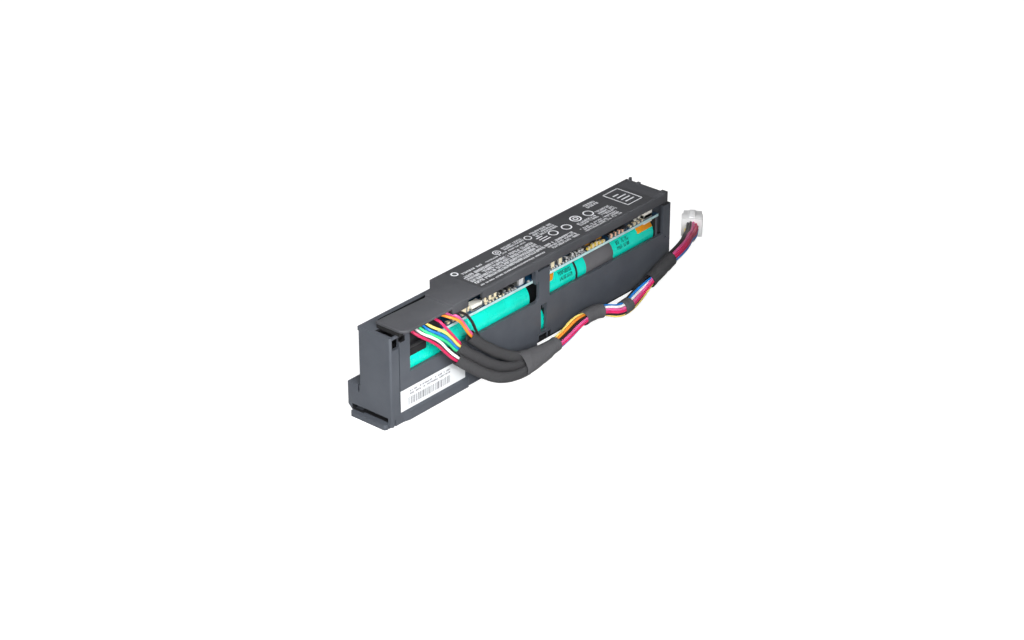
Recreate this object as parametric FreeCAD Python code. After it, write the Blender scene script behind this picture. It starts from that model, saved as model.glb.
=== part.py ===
import FreeCAD, Part
import math
import os

# Backup battery module of a storage controller: a slim moulded tray holds eight
# round cells in two bays and two rows, a circuit board lies over them under a
# moulded cover, and a wire harness leaves under the cover's tongue.
# Millimetres. X runs along the tray from the wire end, Y from the open front
# wall to the back, Z up from the surface the module stands on.

V = FreeCAD.Vector

# Cells
CELL_DIAMETER = 18.35
CELL_LENGTH = 49.4
CELL_SHOULDER = 0.9
CELL_NUB_DIAMETER = 7.0
CELL_NUB_HEIGHT = 0.8
LINK_THICKNESS = 0.2
STRAP_THICKNESS = 0.25
STRAP_WIDTH = 7.0
STRAP_CLEARANCE = 0.15
ROW_GAP = 0.65
STAGGER = 13.3
WRAP_CLEARANCE = 0.05
WRAP_THICKNESS = 0.25

# Tray
WALL = 2.0
FLOOR_THICKNESS = 2.0
FOOT_HEIGHT = 1.5
SEAT_CLEARANCE = 0.125
SIDE_CLEARANCE = 0.425
END_CLEARANCE = 0.2
NEAR_ROOM = 12.0
MIDDLE_ROOM = 9.9
FAR_ROOM = 8.2
RIB = 1.8
BULKHEAD = 1.2
SILL_BELOW_ROW = 2.0
NEAR_JAMB_WIDTH = 15.0
DECK_LENGTH = 11.8
DECK_THICKNESS = 1.4
NOTCH_START = 1.3
NOTCH_WIDTH = 5.5
NOTCH_HEIGHT = 6.3
NOTCH_SHELF_WIDTH = 3.6
GROOVE_START = 6.3
GROOVE_WIDTH = 0.7
GROOVE_DEPTH = 0.6
POST_WIDTH = 11.2
POST_LEAD = 7.1
POST_RISE = 4.2
POST_STEP = 2.1
POST_CORNER = 2.6
POST_RIB = 2.0
POST_RIB_PROUD = 0.8
SLOT_LEAD = 3.4
SLOT_WIDTH = 5.0
SLOT_BOTTOM = 9.7
SLOT_BELOW_SILL = 3.4
STEP_RUNS_ON = 0.7
STEP_DEPTH = 3.0
STEP_TOP = 4.9
STEP_WALL = 1.2
MOUTH_WIDTH = 10.0
MOUTH_TOP = 8.2
BEAD_PROUD = 0.5
HOLE = 1.5
FAR_JAMB_WIDTH = 6.7
FAR_JAMB_RISE = 3.7
RIM_WIDTH = 3.2
RIM_DEPTH = 2.5
LIP_REACH = 2.5
LIP_THICKNESS = 2.9
LIP_LENGTH = 14.5
LIP_FRONT = 2.6
FOOT_INSET = 3.4
FOOT_LENGTH = 14.0
SKIRTING_PROUD = 1.0
SKIRTING_TOP = 7.9
SKIRTING_START = 9.1
SKIRTING_END = 61.0
RAIL_DEPTH = 8.3
RAIL_TOP = 19.0
RAIL_BOTTOM = 2.0
RAIL_WALL = 2.0
RAIL_BAYS = 6

# Board
BOARD_GAP = 1.225
BOARD_THICKNESS = 1.6
BOARD_START = 10.0
BOARD_FRONT = 1.0
BOARD_CLEARANCE = 0.2
BOARD_HEADROOM = 10.8

# Cover
COVER_LIFT = 2.5
COVER_THICKNESS = 2.75
COVER_SKIN = 1.9
COVER_RIM = 2.0
COVER_START = 42.0
COVER_END_INSET = 12.2
SKIRT_REACH = 6.25
TONGUE_START = 4.5
TONGUE_BACK = 14.5
TONGUE_FRONT = -5.8
TONGUE_THICKNESS = 1.4
TONGUE_CORNER = 5.0
LABEL_THICKNESS = 0.15
SIDE_LABEL_START = 7.0
SIDE_LABEL_LENGTH = 51.0
SIDE_LABEL_HEIGHT = 12.5

# Harness
WIRE_DIAMETER = 1.6
WIRE_PITCH = 1.7
GROUP_RADIUS = 2.3
SLEEVE_BORE = 4.2
SLEEVE_WALL = 0.45
TAPE_BORE = 8.8
TAPE_WALL = 0.35
ARC_SHARE = 0.45
PLUG_FRONT = 4.0
PLUG_PITCH = 5.6
PLUG_FIRST = 16.0
PLUG_ROW_STEP = 1.7
CONNECTOR_LENGTH = 14.0
CONNECTOR_WIDTH = 12.6
CONNECTOR_HEIGHT = 11.5
CONNECTOR_CLEARANCE = 0.02

# Places that follow from the sizes above
cell_radius = CELL_DIAMETER / 2
stick_length = 2 * CELL_LENGTH + LINK_THICKNESS
inner_width = CELL_DIAMETER + 2 * SIDE_CLEARANCE
tray_width = inner_width + 2 * WALL
cell_y = WALL + inner_width / 2
floor_top = FOOT_HEIGHT + FLOOR_THICKNESS
row_low = floor_top + SEAT_CLEARANCE + cell_radius
row_high = row_low + CELL_DIAMETER + ROW_GAP
near_rib = WALL + NEAR_ROOM
upper_left = near_rib + RIB + END_CLEARANCE
lower_left = upper_left + STAGGER
bulkhead = upper_left + stick_length + MIDDLE_ROOM
low_bulkhead = lower_left + stick_length + END_CLEARANCE
right_start = bulkhead + BULKHEAD + END_CLEARANCE
right_end = right_start + stick_length
low_right_start = low_bulkhead + BULKHEAD + END_CLEARANCE
low_right_end = low_right_start + stick_length
far_rib = right_end + STRAP_THICKNESS + STRAP_CLEARANCE
low_far_rib = low_right_end + STRAP_THICKNESS + STRAP_CLEARANCE
between_rows = row_low + cell_radius + ROW_GAP / 2
tray_length = far_rib + RIB + FAR_ROOM + WALL
board_bottom = row_high + cell_radius + BOARD_GAP
board_top = board_bottom + BOARD_THICKNESS
board_back = tray_width - WALL - 0.6
wall_top = board_top + BOARD_HEADROOM
cover_bottom = wall_top + COVER_LIFT
cover_top = cover_bottom + COVER_THICKNESS
cover_end = tray_length - COVER_END_INSET
sill = row_high - SILL_BELOW_ROW
post_start = bulkhead - POST_LEAD
post_end = post_start + POST_WIDTH
post_top = board_top + POST_RISE
far_jamb = tray_length - FAR_JAMB_WIDTH
far_top = board_top + FAR_JAMB_RISE
rail_back = tray_width + RAIL_DEPTH
centre_x = (tray_length - LIP_REACH) / 2
centre_y = (rail_back - SKIRT_REACH) / 2


def block(x0, x1, y0, y1, z0, z1):
    return Part.makeBox(x1 - x0, y1 - y0, z1 - z0, V(x0, y0, z0))


def prism(corners, z0, z1):
    """A flat outline of (x, y) corners raised from z0 to z1."""
    points = [V(x, y, z0) for x, y in corners]
    face = Part.Face(Part.makePolygon(points + points[:1]))
    return face.extrude(V(0, 0, z1 - z0))


def round_edges(shape, radius, spots, along="z"):
    """Round the edges that run along one axis through the given spots across it."""
    first, second = {"z": ("x", "y"), "y": ("x", "z")}[along]
    chosen = []
    for edge in shape.Edges:
        ends = [vertex.Point for vertex in edge.Vertexes]
        for a, b in spots:
            if all(abs(getattr(end, first) - a) + abs(getattr(end, second) - b) < 2e-3 for end in ends):
                chosen.append(edge)
    return shape.makeFillet(radius, chosen)


# Tray
def case_tray():
    shell = block(0, tray_length, 0, tray_width, FOOT_HEIGHT, wall_top)
    room = block(WALL, tray_length - WALL, WALL, tray_width - WALL, floor_top, wall_top + 1)
    shell = shell.cut(room)
    shell = round_edges(shell, 1.2, [(0, 0), (0, tray_width)])
    shell = round_edges(shell, 0.4, [(tray_length, 0)])
    shell = shell.fuse([deck(), inner_step()])
    shell = shell.cut(Part.makeCompound(window_cuts() + end_cuts() + foot_cuts()))
    rim = block(0, cover_end + 1.0, tray_width - RIM_WIDTH, tray_width, wall_top - RIM_DEPTH, wall_top)
    pieces = [post_rib(), bead(), rim, skirting(), back_rail()] + inner_walls() + feet()
    return shell.fuse(pieces).removeSplitter()


def deck():
    """The strip of roof that closes the tray beside the tongue."""
    return block(0.8, DECK_LENGTH, 0.8, tray_width - 0.8, wall_top - DECK_THICKNESS, wall_top)


def inner_step():
    """What stands inside the tray where its lower front edge steps in."""
    start = post_start + STEP_RUNS_ON - STEP_WALL
    return block(start, tray_length - WALL / 2, WALL / 2, STEP_DEPTH + STEP_WALL,
                 floor_top - 0.2, STEP_TOP + STEP_WALL)


def window_cuts():
    """The front wall is open above the sill, except for its jambs and the post."""
    above = wall_top + 1
    left = block(NEAR_JAMB_WIDTH, post_start, -1, WALL, sill, above)
    left_below_board = block(NEAR_JAMB_WIDTH, post_start + POST_STEP, -1, WALL, sill, board_bottom - 0.5)
    left_below_board = round_edges(left_below_board, POST_CORNER, [(post_start + POST_STEP, sill)], "y")
    right = block(post_end, far_jamb, -1, WALL, sill, above)
    over_post = block(post_start, post_end, -1, WALL, post_top, above)
    slot_start = bulkhead - SLOT_LEAD
    slot = block(slot_start, slot_start + SLOT_WIDTH, -1, WALL, SLOT_BOTTOM, sill - SLOT_BELOW_SILL)
    return [left, left_below_board, right, over_post, slot]


def end_cuts():
    """The corner window and parting groove at the near end, the low far end."""
    top = wall_top - DECK_THICKNESS
    notch_end = NOTCH_START + NOTCH_WIDTH
    notch = block(NOTCH_START, notch_end, -1, WALL, top - NOTCH_HEIGHT, top)
    notch_shelf = block(notch_end - 0.1, notch_end + NOTCH_SHELF_WIDTH, -1, WALL / 2,
                        top - NOTCH_HEIGHT / 2, top)
    groove = block(GROOVE_START, GROOVE_START + GROOVE_WIDTH, -1, GROOVE_DEPTH,
                   SKIRTING_TOP, top - NOTCH_HEIGHT)
    corner_slot = block(1.7, 3.1, -1, GROOVE_DEPTH, FOOT_HEIGHT - 1, 5.2)
    shadow = block(-1, WALL * 0.7, LIP_FRONT, tray_width - 2.5, LIP_THICKNESS + 0.1, LIP_THICKNESS + 3.6)
    above_far_end = block(cover_end + 1.0, tray_length + 1, -1, tray_width + 1, far_top, wall_top + 1)
    hole = block(tray_length - 5.2, tray_length - 5.2 + HOLE, -1, WALL, sill - 2 - HOLE, sill - 2)
    return [notch, notch_shelf, groove, corner_slot, shadow, above_far_end, hole]


def foot_cuts():
    """The step along the lower front edge, and the mouth that opens over it."""
    step = block(post_start + STEP_RUNS_ON, tray_length + 1, -1, STEP_DEPTH, FOOT_HEIGHT - 1, STEP_TOP)
    start = post_start + POST_STEP
    mouth = block(start, start + MOUTH_WIDTH, -1, STEP_DEPTH + STEP_WALL + 0.1, STEP_TOP - 1, MOUTH_TOP)
    return [step, mouth]


def post_rib():
    """The rib beside the post that carries the cover."""
    return block(post_start - POST_RIB, post_start + 0.2, -POST_RIB_PROUD, WALL,
                 board_bottom - 0.5, cover_bottom)


def bead():
    """The thin bead over the mouth."""
    start = post_start + POST_STEP - 0.8
    return block(start, start + MOUTH_WIDTH, -BEAD_PROUD, WALL / 2, MOUTH_TOP + 0.1, SLOT_BOTTOM - 0.4)


def inner_walls():
    """The stops at the ends of the cells, with the rows' walls set apart."""
    y0, y1 = WALL - 0.2, tray_width - WALL + 0.2
    low, over, under = floor_top - 0.2, between_rows + 0.6, between_rows - 0.3
    low_stop_end = lower_left - END_CLEARANCE
    return [
        block(near_rib, near_rib + RIB, y0, y1, low, board_bottom),
        block(low_stop_end - RIB, low_stop_end, y0, y1, low, row_low + 6),
        block(bulkhead, bulkhead + BULKHEAD, y0, y1, over, board_bottom),
        block(low_bulkhead, low_bulkhead + BULKHEAD, y0, y1, low, under),
        block(far_rib, far_rib + RIB, y0, y1, over, board_bottom),
        block(low_far_rib, low_far_rib + RIB, y0, y1, low, under),
    ]


def feet():
    """The base lip at the near end and the foot at the far end."""
    back = rail_back - FOOT_INSET
    lip = block(-LIP_REACH, LIP_LENGTH - LIP_REACH, LIP_FRONT, back, 0, LIP_THICKNESS)
    lip = round_edges(lip, 1.5, [(-LIP_REACH, LIP_FRONT), (-LIP_REACH, back)])
    far_end = tray_length - WALL
    far_foot = block(far_end - FOOT_LENGTH, far_end, FOOT_INSET, back, 0, FOOT_HEIGHT + 0.6)
    return [lip, far_foot]


def skirting():
    """The thicker foot of the front wall under the side label, sloped at its ends."""
    profile = [V(0, 0.5, SKIRTING_TOP), V(0, 0, SKIRTING_TOP), V(0, -SKIRTING_PROUD, SKIRTING_TOP - 1.0),
               V(0, -SKIRTING_PROUD, FOOT_HEIGHT), V(0, 0.5, FOOT_HEIGHT)]
    bar = Part.Face(Part.makePolygon(profile + profile[:1])).extrude(V(SKIRTING_END, 0, 0))
    plan = [(SKIRTING_START, 1), (SKIRTING_START, 0), (SKIRTING_START + 4.0, -SKIRTING_PROUD),
            (SKIRTING_END - 1.2, -SKIRTING_PROUD), (SKIRTING_END, 0), (SKIRTING_END, 1)]
    return bar.common(prism(plan, 0, SKIRTING_TOP + 1))


def back_rail():
    """The ribbed channel along the foot of the back wall, open below."""
    inner = tray_width - WALL + 0.6
    corners = [V(0, inner, RAIL_BOTTOM), V(0, rail_back - 3.4, RAIL_BOTTOM),
               V(0, rail_back, RAIL_BOTTOM + 3.4), V(0, rail_back, RAIL_TOP), V(0, inner, RAIL_TOP)]
    rail = Part.Face(Part.makePolygon(corners + corners[:1])).extrude(V(tray_length, 0, 0))
    bay = (tray_length - RAIL_WALL) / RAIL_BAYS
    for number in range(RAIL_BAYS):
        start = RAIL_WALL + number * bay
        pocket = block(start, start + bay - RAIL_WALL, tray_width + 0.01, rail_back - RAIL_WALL,
                       RAIL_BOTTOM + 3.4, RAIL_TOP - RAIL_WALL)
        mouth = block(start, start + bay - RAIL_WALL, tray_width + 0.01, rail_back - 3.6,
                      RAIL_BOTTOM - 1, RAIL_BOTTOM + 3.5)
        rail = rail.cut(pocket.fuse(mouth))
    return rail.cut(block(-1, 1.4, tray_width, tray_width + 1.2, RAIL_TOP - 4, RAIL_TOP + 1))


# Cover
def top_cover():
    back_corner = COVER_START + 14.2
    outline = [(COVER_START, -SKIRT_REACH), (cover_end, -SKIRT_REACH), (cover_end, tray_width),
               (back_corner, tray_width), (COVER_START + 7.0, tray_width - 6.7),
               (COVER_START, tray_width - 9.5)]
    plate = prism(outline, cover_bottom, cover_top)
    hollow = block(back_corner, cover_end - COVER_RIM, -SKIRT_REACH + COVER_RIM,
                   tray_width - COVER_RIM, cover_bottom - 1, cover_top - COVER_SKIN)
    plate = plate.cut(hollow)
    skirt = block(COVER_START, cover_end, -SKIRT_REACH, -SKIRT_REACH + 2.0,
                  wall_top - 0.3, cover_bottom + 0.5)
    notch = block(54.5, 66.0, -SKIRT_REACH - 1, -SKIRT_REACH + 2.0, wall_top - 1, cover_top - 1.6)
    back_skirt = block(back_corner + 2, cover_end, tray_width - RIM_WIDTH + 0.4, tray_width - 1.2,
                       wall_top, cover_bottom + 0.5)
    shape = plate.fuse([skirt, back_skirt, tongue()]).cut(notch)
    corner_block = block(cover_end - 3.5, cover_end + 0.8, -SKIRT_REACH, -SKIRT_REACH + 4.0,
                         wall_top - 0.3, cover_top + 0.6)
    back_tab = block(cover_end - 1.6, cover_end, tray_width - 4.0, tray_width - 2.6,
                     cover_top - 1, cover_top + 2.0)
    bump = block(cover_end - 1.6, cover_end, tray_width - 10.5, tray_width - 8.5,
                 cover_top - 1, cover_top + 0.9)
    return shape.fuse([corner_block, back_tab, bump]).removeSplitter()


def tongue():
    """The lower, thinner tongue that shades the wire exit."""
    low = cover_bottom
    high = cover_bottom + TONGUE_THICKNESS
    end = COVER_START + 2.0
    corners = [(TONGUE_START, TONGUE_FRONT), (end, TONGUE_FRONT), (end, TONGUE_BACK - 1.5),
               (TONGUE_START, TONGUE_BACK)]
    shape = prism(corners, low, high)
    return round_edges(shape, TONGUE_CORNER, [(TONGUE_START, TONGUE_FRONT)])


# Labels
def rating_label():
    return block(COVER_START + 25, cover_end - 10.5, -SKIRT_REACH + 1.2, tray_width - 1.2,
                 cover_top, cover_top + LABEL_THICKNESS)


def side_label():
    low = SKIRTING_TOP + 0.1
    return block(SIDE_LABEL_START, SIDE_LABEL_START + SIDE_LABEL_LENGTH, -LABEL_THICKNESS, 0,
                 low, low + SIDE_LABEL_HEIGHT)


# Board and what is soldered to it
def circuit_board():
    board = block(BOARD_START, far_rib + RIB, BOARD_FRONT, board_back, board_bottom, board_top)
    reach = WALL + BOARD_CLEARANCE
    cuts = [block(BOARD_START - 1, NEAR_JAMB_WIDTH + BOARD_CLEARANCE, 0, reach,
                  board_bottom - 1, board_top + 1)]
    cuts.append(block(post_start - POST_RIB - BOARD_CLEARANCE, post_end + BOARD_CLEARANCE, 0, reach,
                      board_bottom - 1, board_top + 1))
    for x in (BOARD_START + 3.5, bulkhead + 4.5, far_rib - 4.0):
        cuts.append(Part.makeCylinder(1.3, 4, V(x, board_back - 3.2, board_bottom - 1)))
    return board.cut(Part.makeCompound(cuts))


def on_board(x0, x1, y0, y1, height, edge=0.3):
    """A moulded part that stands on the board, with its upper edges eased."""
    shape = block(x0, x1, y0, y1, board_top, board_top + height)
    top = [e for e in shape.Edges if all(abs(v.Z - board_top - height) < 1e-6 for v in e.Vertexes)]
    return shape.makeChamfer(edge, top)


def coil_part(x0, x1, y0, y1, height):
    """A wound part: a shallow square base with a round ferrite core on it."""
    base = block(x0, x1, y0, y1, board_top, board_top + 1.0)
    radius = (x1 - x0) / 2 - 0.2
    middle = V((x0 + x1) / 2, (y0 + y1) / 2, board_top + 1.0)
    core = Part.makeCylinder(radius, height - 1.0, middle)
    waist = Part.makeCylinder(radius + 1, height - 3.0, middle + V(0, 0, 1.0))
    waist = waist.cut(Part.makeCylinder(radius - 0.8, height - 3.0, middle + V(0, 0, 1.0)))
    return base.fuse(core.cut(waist)).removeSplitter()


def chip_resistors():
    """The small chips in a row behind the board's front edge, as one group."""
    spots = [(COVER_START + 37.0, 3.2), (COVER_START + 42.0, 3.2), (post_start - 27.8, 5.0),
             (post_start - 20.8, 3.2), (right_start + 19.7, 3.4), (right_start + 27.2, 3.2),
             (far_rib - 20.7, 9.4), (far_rib - 15.7, 9.4)]
    chips = [block(x, x + 2.0, y, y + 1.2, board_top, board_top + 0.6) for x, y in spots]
    return Part.makeCompound(chips)


def board_parts():
    cover, post, bay, far = COVER_START, post_start, right_start, far_rib
    return {
        "fuse_block": on_board(cover + 15.0, cover + 21.0, 2.2, 7.5, 4.0),
        "sense_socket": on_board(cover + 24.5, cover + 33.0, 2.2, 6.8, 3.2),
        "shunt_block": on_board(post - 13.8, post - 7.3, 2.4, 9.0, 5.0),
        "capacitor_1": on_board(bay + 5.7, bay + 10.2, 2.4, 7.4, 4.2),
        "capacitor_2": on_board(bay + 12.2, bay + 16.7, 2.4, 7.4, 4.2),
        "controller_chip": on_board(bay + 22.7, bay + 32.7, 8.0, 18.0, 1.6),
        "coil_1": coil_part(bay + 36.7, bay + 43.7, 2.6, 9.6, 5.0),
        "coil_2": coil_part(bay + 47.2, bay + 54.2, 2.6, 9.6, 5.0),
        "switch_chip_1": on_board(bay + 58.2, bay + 64.2, 2.6, 8.6, 1.8),
        "switch_chip_2": on_board(bay + 67.7, bay + 73.7, 2.6, 8.6, 1.8),
        "service_socket": on_board(far - 10.2, far - 2.7, 2.2, 8.0, 5.6),
        "chip_resistors": chip_resistors(),
    }


def plug_span():
    return PLUG_FIRST - 3.2, PLUG_FIRST + 4 * PLUG_PITCH + 3.2


def board_header():
    start, end = plug_span()
    shape = block(start, end, PLUG_FRONT - 1.0, PLUG_FRONT + 7.5, board_top, board_top + 6.0)
    pocket = block(start + 1, end - 1, PLUG_FRONT, PLUG_FRONT + 6.5, board_top + 1.5, board_top + 7)
    return shape.cut(pocket)


def harness_plug():
    start, end = plug_span()
    stem = block(start + 1.1, end - 1.1, PLUG_FRONT + 0.1, PLUG_FRONT + 6.4,
                 board_top + 1.5, board_top + 6.0)
    head = block(start, end, PLUG_FRONT, PLUG_FRONT + 7.5, board_top + 6.0, cover_bottom - 0.5)
    latch = block(start + 10, end - 10, PLUG_FRONT + 7.5, PLUG_FRONT + 8.3,
                  board_top + 2.0, cover_bottom - 1.5)
    return stem.fuse([head, latch]).removeSplitter()


# Cells and what joins them
def cell(start, height):
    """One wrapped cell along X: eased shoulders and a raised nub at its far end."""
    ease = CELL_SHOULDER
    body = CELL_LENGTH - CELL_NUB_HEIGHT
    nub = CELL_NUB_DIAMETER / 2
    outline = [(0, 0), (0, cell_radius - ease), (ease, cell_radius), (body - ease, cell_radius),
               (body, cell_radius - ease), (body, nub), (CELL_LENGTH, nub), (CELL_LENGTH, 0), (0, 0)]
    face = Part.Face(Part.makePolygon([V(x, 0, r) for x, r in outline]))
    shape = face.revolve(V(0, 0, 0), V(1, 0, 0), 360)
    shape.translate(V(start, cell_y, height))
    return shape


def stick_starts():
    """Where each pair of cells begins, and the height of its row."""
    return [(upper_left, row_high), (lower_left, row_low), (right_start, row_high),
            (low_right_start, row_low)]


def cells_and_links():
    made = {}
    for stick, (x, z) in enumerate(stick_starts()):
        made[f"cell_{2 * stick + 1}"] = cell(x, z)
        made[f"cell_{2 * stick + 2}"] = cell(x + CELL_LENGTH + LINK_THICKNESS, z)
        tab = Part.makeCylinder(5.0, LINK_THICKNESS, V(x + CELL_LENGTH, cell_y, z), V(1, 0, 0))
        made[f"cell_link_{stick + 1}"] = tab
    return made


def straps():
    """Nickel strips from the ends of the sticks to each other and up to the board."""
    side0, side1 = cell_y - STRAP_WIDTH / 2, cell_y + STRAP_WIDTH / 2
    middle_end = upper_left + stick_length
    far = block(right_end, right_end + STRAP_THICKNESS, side0, side1, between_rows, row_high + 4)
    shelf = block(right_end, low_right_end + STRAP_THICKNESS, side0, side1,
                  between_rows, between_rows + STRAP_THICKNESS)
    low = block(low_right_end, low_right_end + STRAP_THICKNESS, side0, side1,
                row_low - 4, between_rows + STRAP_THICKNESS)
    far = far.fuse([shelf, low]).removeSplitter()
    middle = block(middle_end, middle_end + STRAP_THICKNESS, side0, side1, row_high - 4, board_bottom)
    foot = block(middle_end, middle_end + 5.0, side0, side1, board_bottom - STRAP_THICKNESS, board_bottom)
    return {"far_strap": far, "middle_strap": middle.fuse(foot).removeSplitter()}


def wrap_ring(start, length):
    """A thin dark sleeve shrunk round a cell of the upper right pair."""
    inner = cell_radius + WRAP_CLEARANCE
    axis_start = V(start, cell_y, row_high)
    ring = Part.makeCylinder(inner + WRAP_THICKNESS, length, axis_start, V(1, 0, 0))
    return ring.cut(Part.makeCylinder(inner, length, axis_start, V(1, 0, 0)))


def tape_pad(x0, x1):
    """Insulating tape laid over the upper cell, thickened to a pad below the board."""
    inner = cell_radius + WRAP_CLEARANCE
    outer = inner + WRAP_THICKNESS
    axis_start = V(x0, cell_y, row_high)
    length = x1 - x0
    band = Part.makeCylinder(outer, length, axis_start, V(1, 0, 0))
    front = block(x0, x1, cell_y - outer - 1, cell_y + 6.0, row_high + 4.2, row_high + outer + 1)
    pad = block(x0, x1, cell_y - 6.0, cell_y + 6.0, row_high + cell_radius * 0.7, board_bottom)
    shape = band.common(front).fuse(pad)
    return shape.cut(Part.makeCylinder(inner, length, axis_start, V(1, 0, 0))).removeSplitter()


# Harness: the middle line of the bundle, and of each sleeve that feeds it. A
# sleeve's first two points lie before its mouth, where the wires still fan out.
TRUNK = [(99.0, -11.3, 4.9), (111.0, -10.9, 4.9), (128.0, -8.9, 4.9), (149.0, -5.9, 8.8),
         (167.0, -5.9, 8.2), (184.0, -10.4, 4.9), (204.0, -6.5, 7.2), (229.0, -6.8, 15.9),
         (248.0, -2.6, 16.6), (266.0, 8.6, 11.4), (279.0, 15.7, 5.75), (288.0, 21.8, 5.75)]
SLEEVE_ROUTES = {
    "a": [(43.0, -8.4, 51.8), (49.0, -6.8, 45.2), (54.6, -6.4, 36.5), (70.5, -6.9, 22.3),
          (84.0, -8.6, 12.6), (92.0, -10.2, 8.9)],
    "b": [(31.5, -8.6, 48.6), (38.5, -7.8, 41.5), (43.5, -7.8, 35.0), (54.0, -8.4, 26.2),
          (66.0, -9.0, 16.5), (76.5, -9.2, 9.8), (84.0, -9.4, 6.0), (92.0, -9.6, 3.7)],
    "c": [(26.0, -8.8, 46.0), (34.0, -8.6, 36.4), (40.5, -9.4, 29.6), (57.2, -12.8, 15.4),
          (70.2, -14.3, 7.3), (84.0, -14.5, 3.6), (92.0, -14.8, 3.4)],
}
SLEEVE_END = 90.2
BUNDLE_COVERS = {"bundle_tape": (103.0, 121.0), "band_1": (151.0, 167.0), "band_2": (186.0, 193.0),
                 "end_sleeve": (209.0, 232.0)}
GROUP_ANGLES = {"a": 80, "b": 320, "c": 200}
# Each wire: its name, its sleeve, its column and row in the plug, and its lane
# in the sleeve as shares of the pitch, inwards and upwards.
WIRES = [
    ("wire_pink", "a", 4, 0, (-0.5, 0.29)),
    ("wire_orange", "a", 4, 1, (0.5, 0.29)),
    ("wire_brown", "a", 3, 0, (0.0, -0.58)),
    ("wire_crimson", "b", 3, 1, (0.5, 0.5)),
    ("wire_yellow", "b", 2, 0, (-0.5, 0.5)),
    ("wire_blue", "b", 2, 1, (0.5, -0.5)),
    ("wire_green", "b", 1, 0, (-0.5, -0.5)),
    ("wire_white", "c", 1, 1, (0.0, 0.58)),
    ("wire_red", "c", 0, 0, (-0.5, -0.29)),
    ("wire_black", "c", 0, 1, (0.5, -0.29)),
]
FAN_SPREAD = 2.0
CONNECTOR_SPREAD = 1.2


def beside(points, inwards, upwards, fan=1.0):
    """A route that keeps beside another, at the same distance also in its bends."""
    spots = [V(*p) for p in points]
    last = len(spots) - 1
    moved = []
    for number, spot in enumerate(spots):
        before = spots[max(number - 1, 0)]
        after = spots[min(number + 1, last)]
        arriving = (spot - before) if number else (after - spot)
        leaving = (after - spot) if number < last else (spot - before)
        arriving.normalize()
        leaving.normalize()
        along = arriving + leaving
        along.normalize()
        side = V(-along.y, along.x, 0)
        side.normalize()
        rise = along.cross(side)
        shift = side * inwards + rise * upwards
        bend = leaving - arriving
        if bend.Length > 1e-6:
            bend.normalize()
            stretch = 1 / along.dot(leaving) - 1
            shift = shift + bend * (shift.dot(bend) * stretch)
        if number == 0:
            shift = shift * fan
        if number >= last - 1:
            shift = shift * CONNECTOR_SPREAD
        moved.append(tuple(spot + shift))
    return moved


def route_edges(points):
    """Straight runs joined by tangent arcs, each as large as its two runs allow."""
    spots = [V(*p) for p in points]
    edges, radii = [], []
    start = spots[0]
    for before, corner, after in zip(spots, spots[1:], spots[2:]):
        back = before - corner
        ahead = after - corner
        turn = math.pi - back.getAngle(ahead)
        trim = ARC_SHARE * min(back.Length, ahead.Length)
        radius = trim / math.tan(turn / 2)
        back.normalize()
        ahead.normalize()
        inwards = back + ahead
        inwards.normalize()
        middle = corner + inwards * (radius / math.cos(turn / 2) - radius)
        arc_start = corner + back * trim
        arc_end = corner + ahead * trim
        edges.append(Part.LineSegment(start, arc_start).toShape())
        edges.append(Part.Arc(arc_start, middle, arc_end).toShape())
        radii.append(radius)
        start = arc_end
    edges.append(Part.LineSegment(start, spots[-1]).toShape())
    return edges, radii


def clipped(edges, start_x, end_x):
    """The stretch of a route between two places along X."""
    kept = []
    for edge in edges:
        low, high = edge.ParameterRange
        if edge.valueAt(high).x <= start_x or edge.valueAt(low).x >= end_x:
            continue
        first = place_at(edge, start_x) if edge.valueAt(low).x < start_x else low
        last = place_at(edge, end_x) if edge.valueAt(high).x > end_x else high
        kept.append(edge.Curve.toShape(first, last))
    return kept


def place_at(edge, x):
    low, high = edge.ParameterRange
    for _ in range(40):
        middle = (low + high) / 2
        if edge.valueAt(middle).x < x:
            low = middle
        else:
            high = middle
    return low


def swept(edges, diameter):
    path = Part.Wire(edges)
    start = edges[0].valueAt(edges[0].FirstParameter)
    heading = edges[0].tangentAt(edges[0].FirstParameter)
    section = Part.Face(Part.Wire(Part.makeCircle(diameter / 2, start, heading)))
    shape = path.makePipe(section)
    expected = math.pi * diameter ** 2 / 4 * path.Length
    if abs(shape.Volume / expected - 1) > 0.01:
        print("swept volume is off:", round(shape.Volume / expected, 4))
    return shape


def hollow_sweep(edges, bore, wall):
    return swept(edges, bore + 2 * wall).cut(swept(edges, bore))


def group_route(group):
    angle = math.radians(GROUP_ANGLES[group])
    inwards = GROUP_RADIUS * math.cos(angle)
    upwards = GROUP_RADIUS * math.sin(angle)
    return SLEEVE_ROUTES[group] + beside(TRUNK, inwards, upwards)


def wire_route(group, column, row, lane):
    x = PLUG_FIRST + column * PLUG_PITCH
    z = cover_bottom - 1.5 - row * PLUG_ROW_STEP
    depth = PLUG_ROW_STEP * row
    lanes = beside(group_route(group), lane[0] * WIRE_PITCH, lane[1] * WIRE_PITCH, FAN_SPREAD)
    return [(x, PLUG_FRONT, z), (x, depth - 4.4, z)] + lanes


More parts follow.
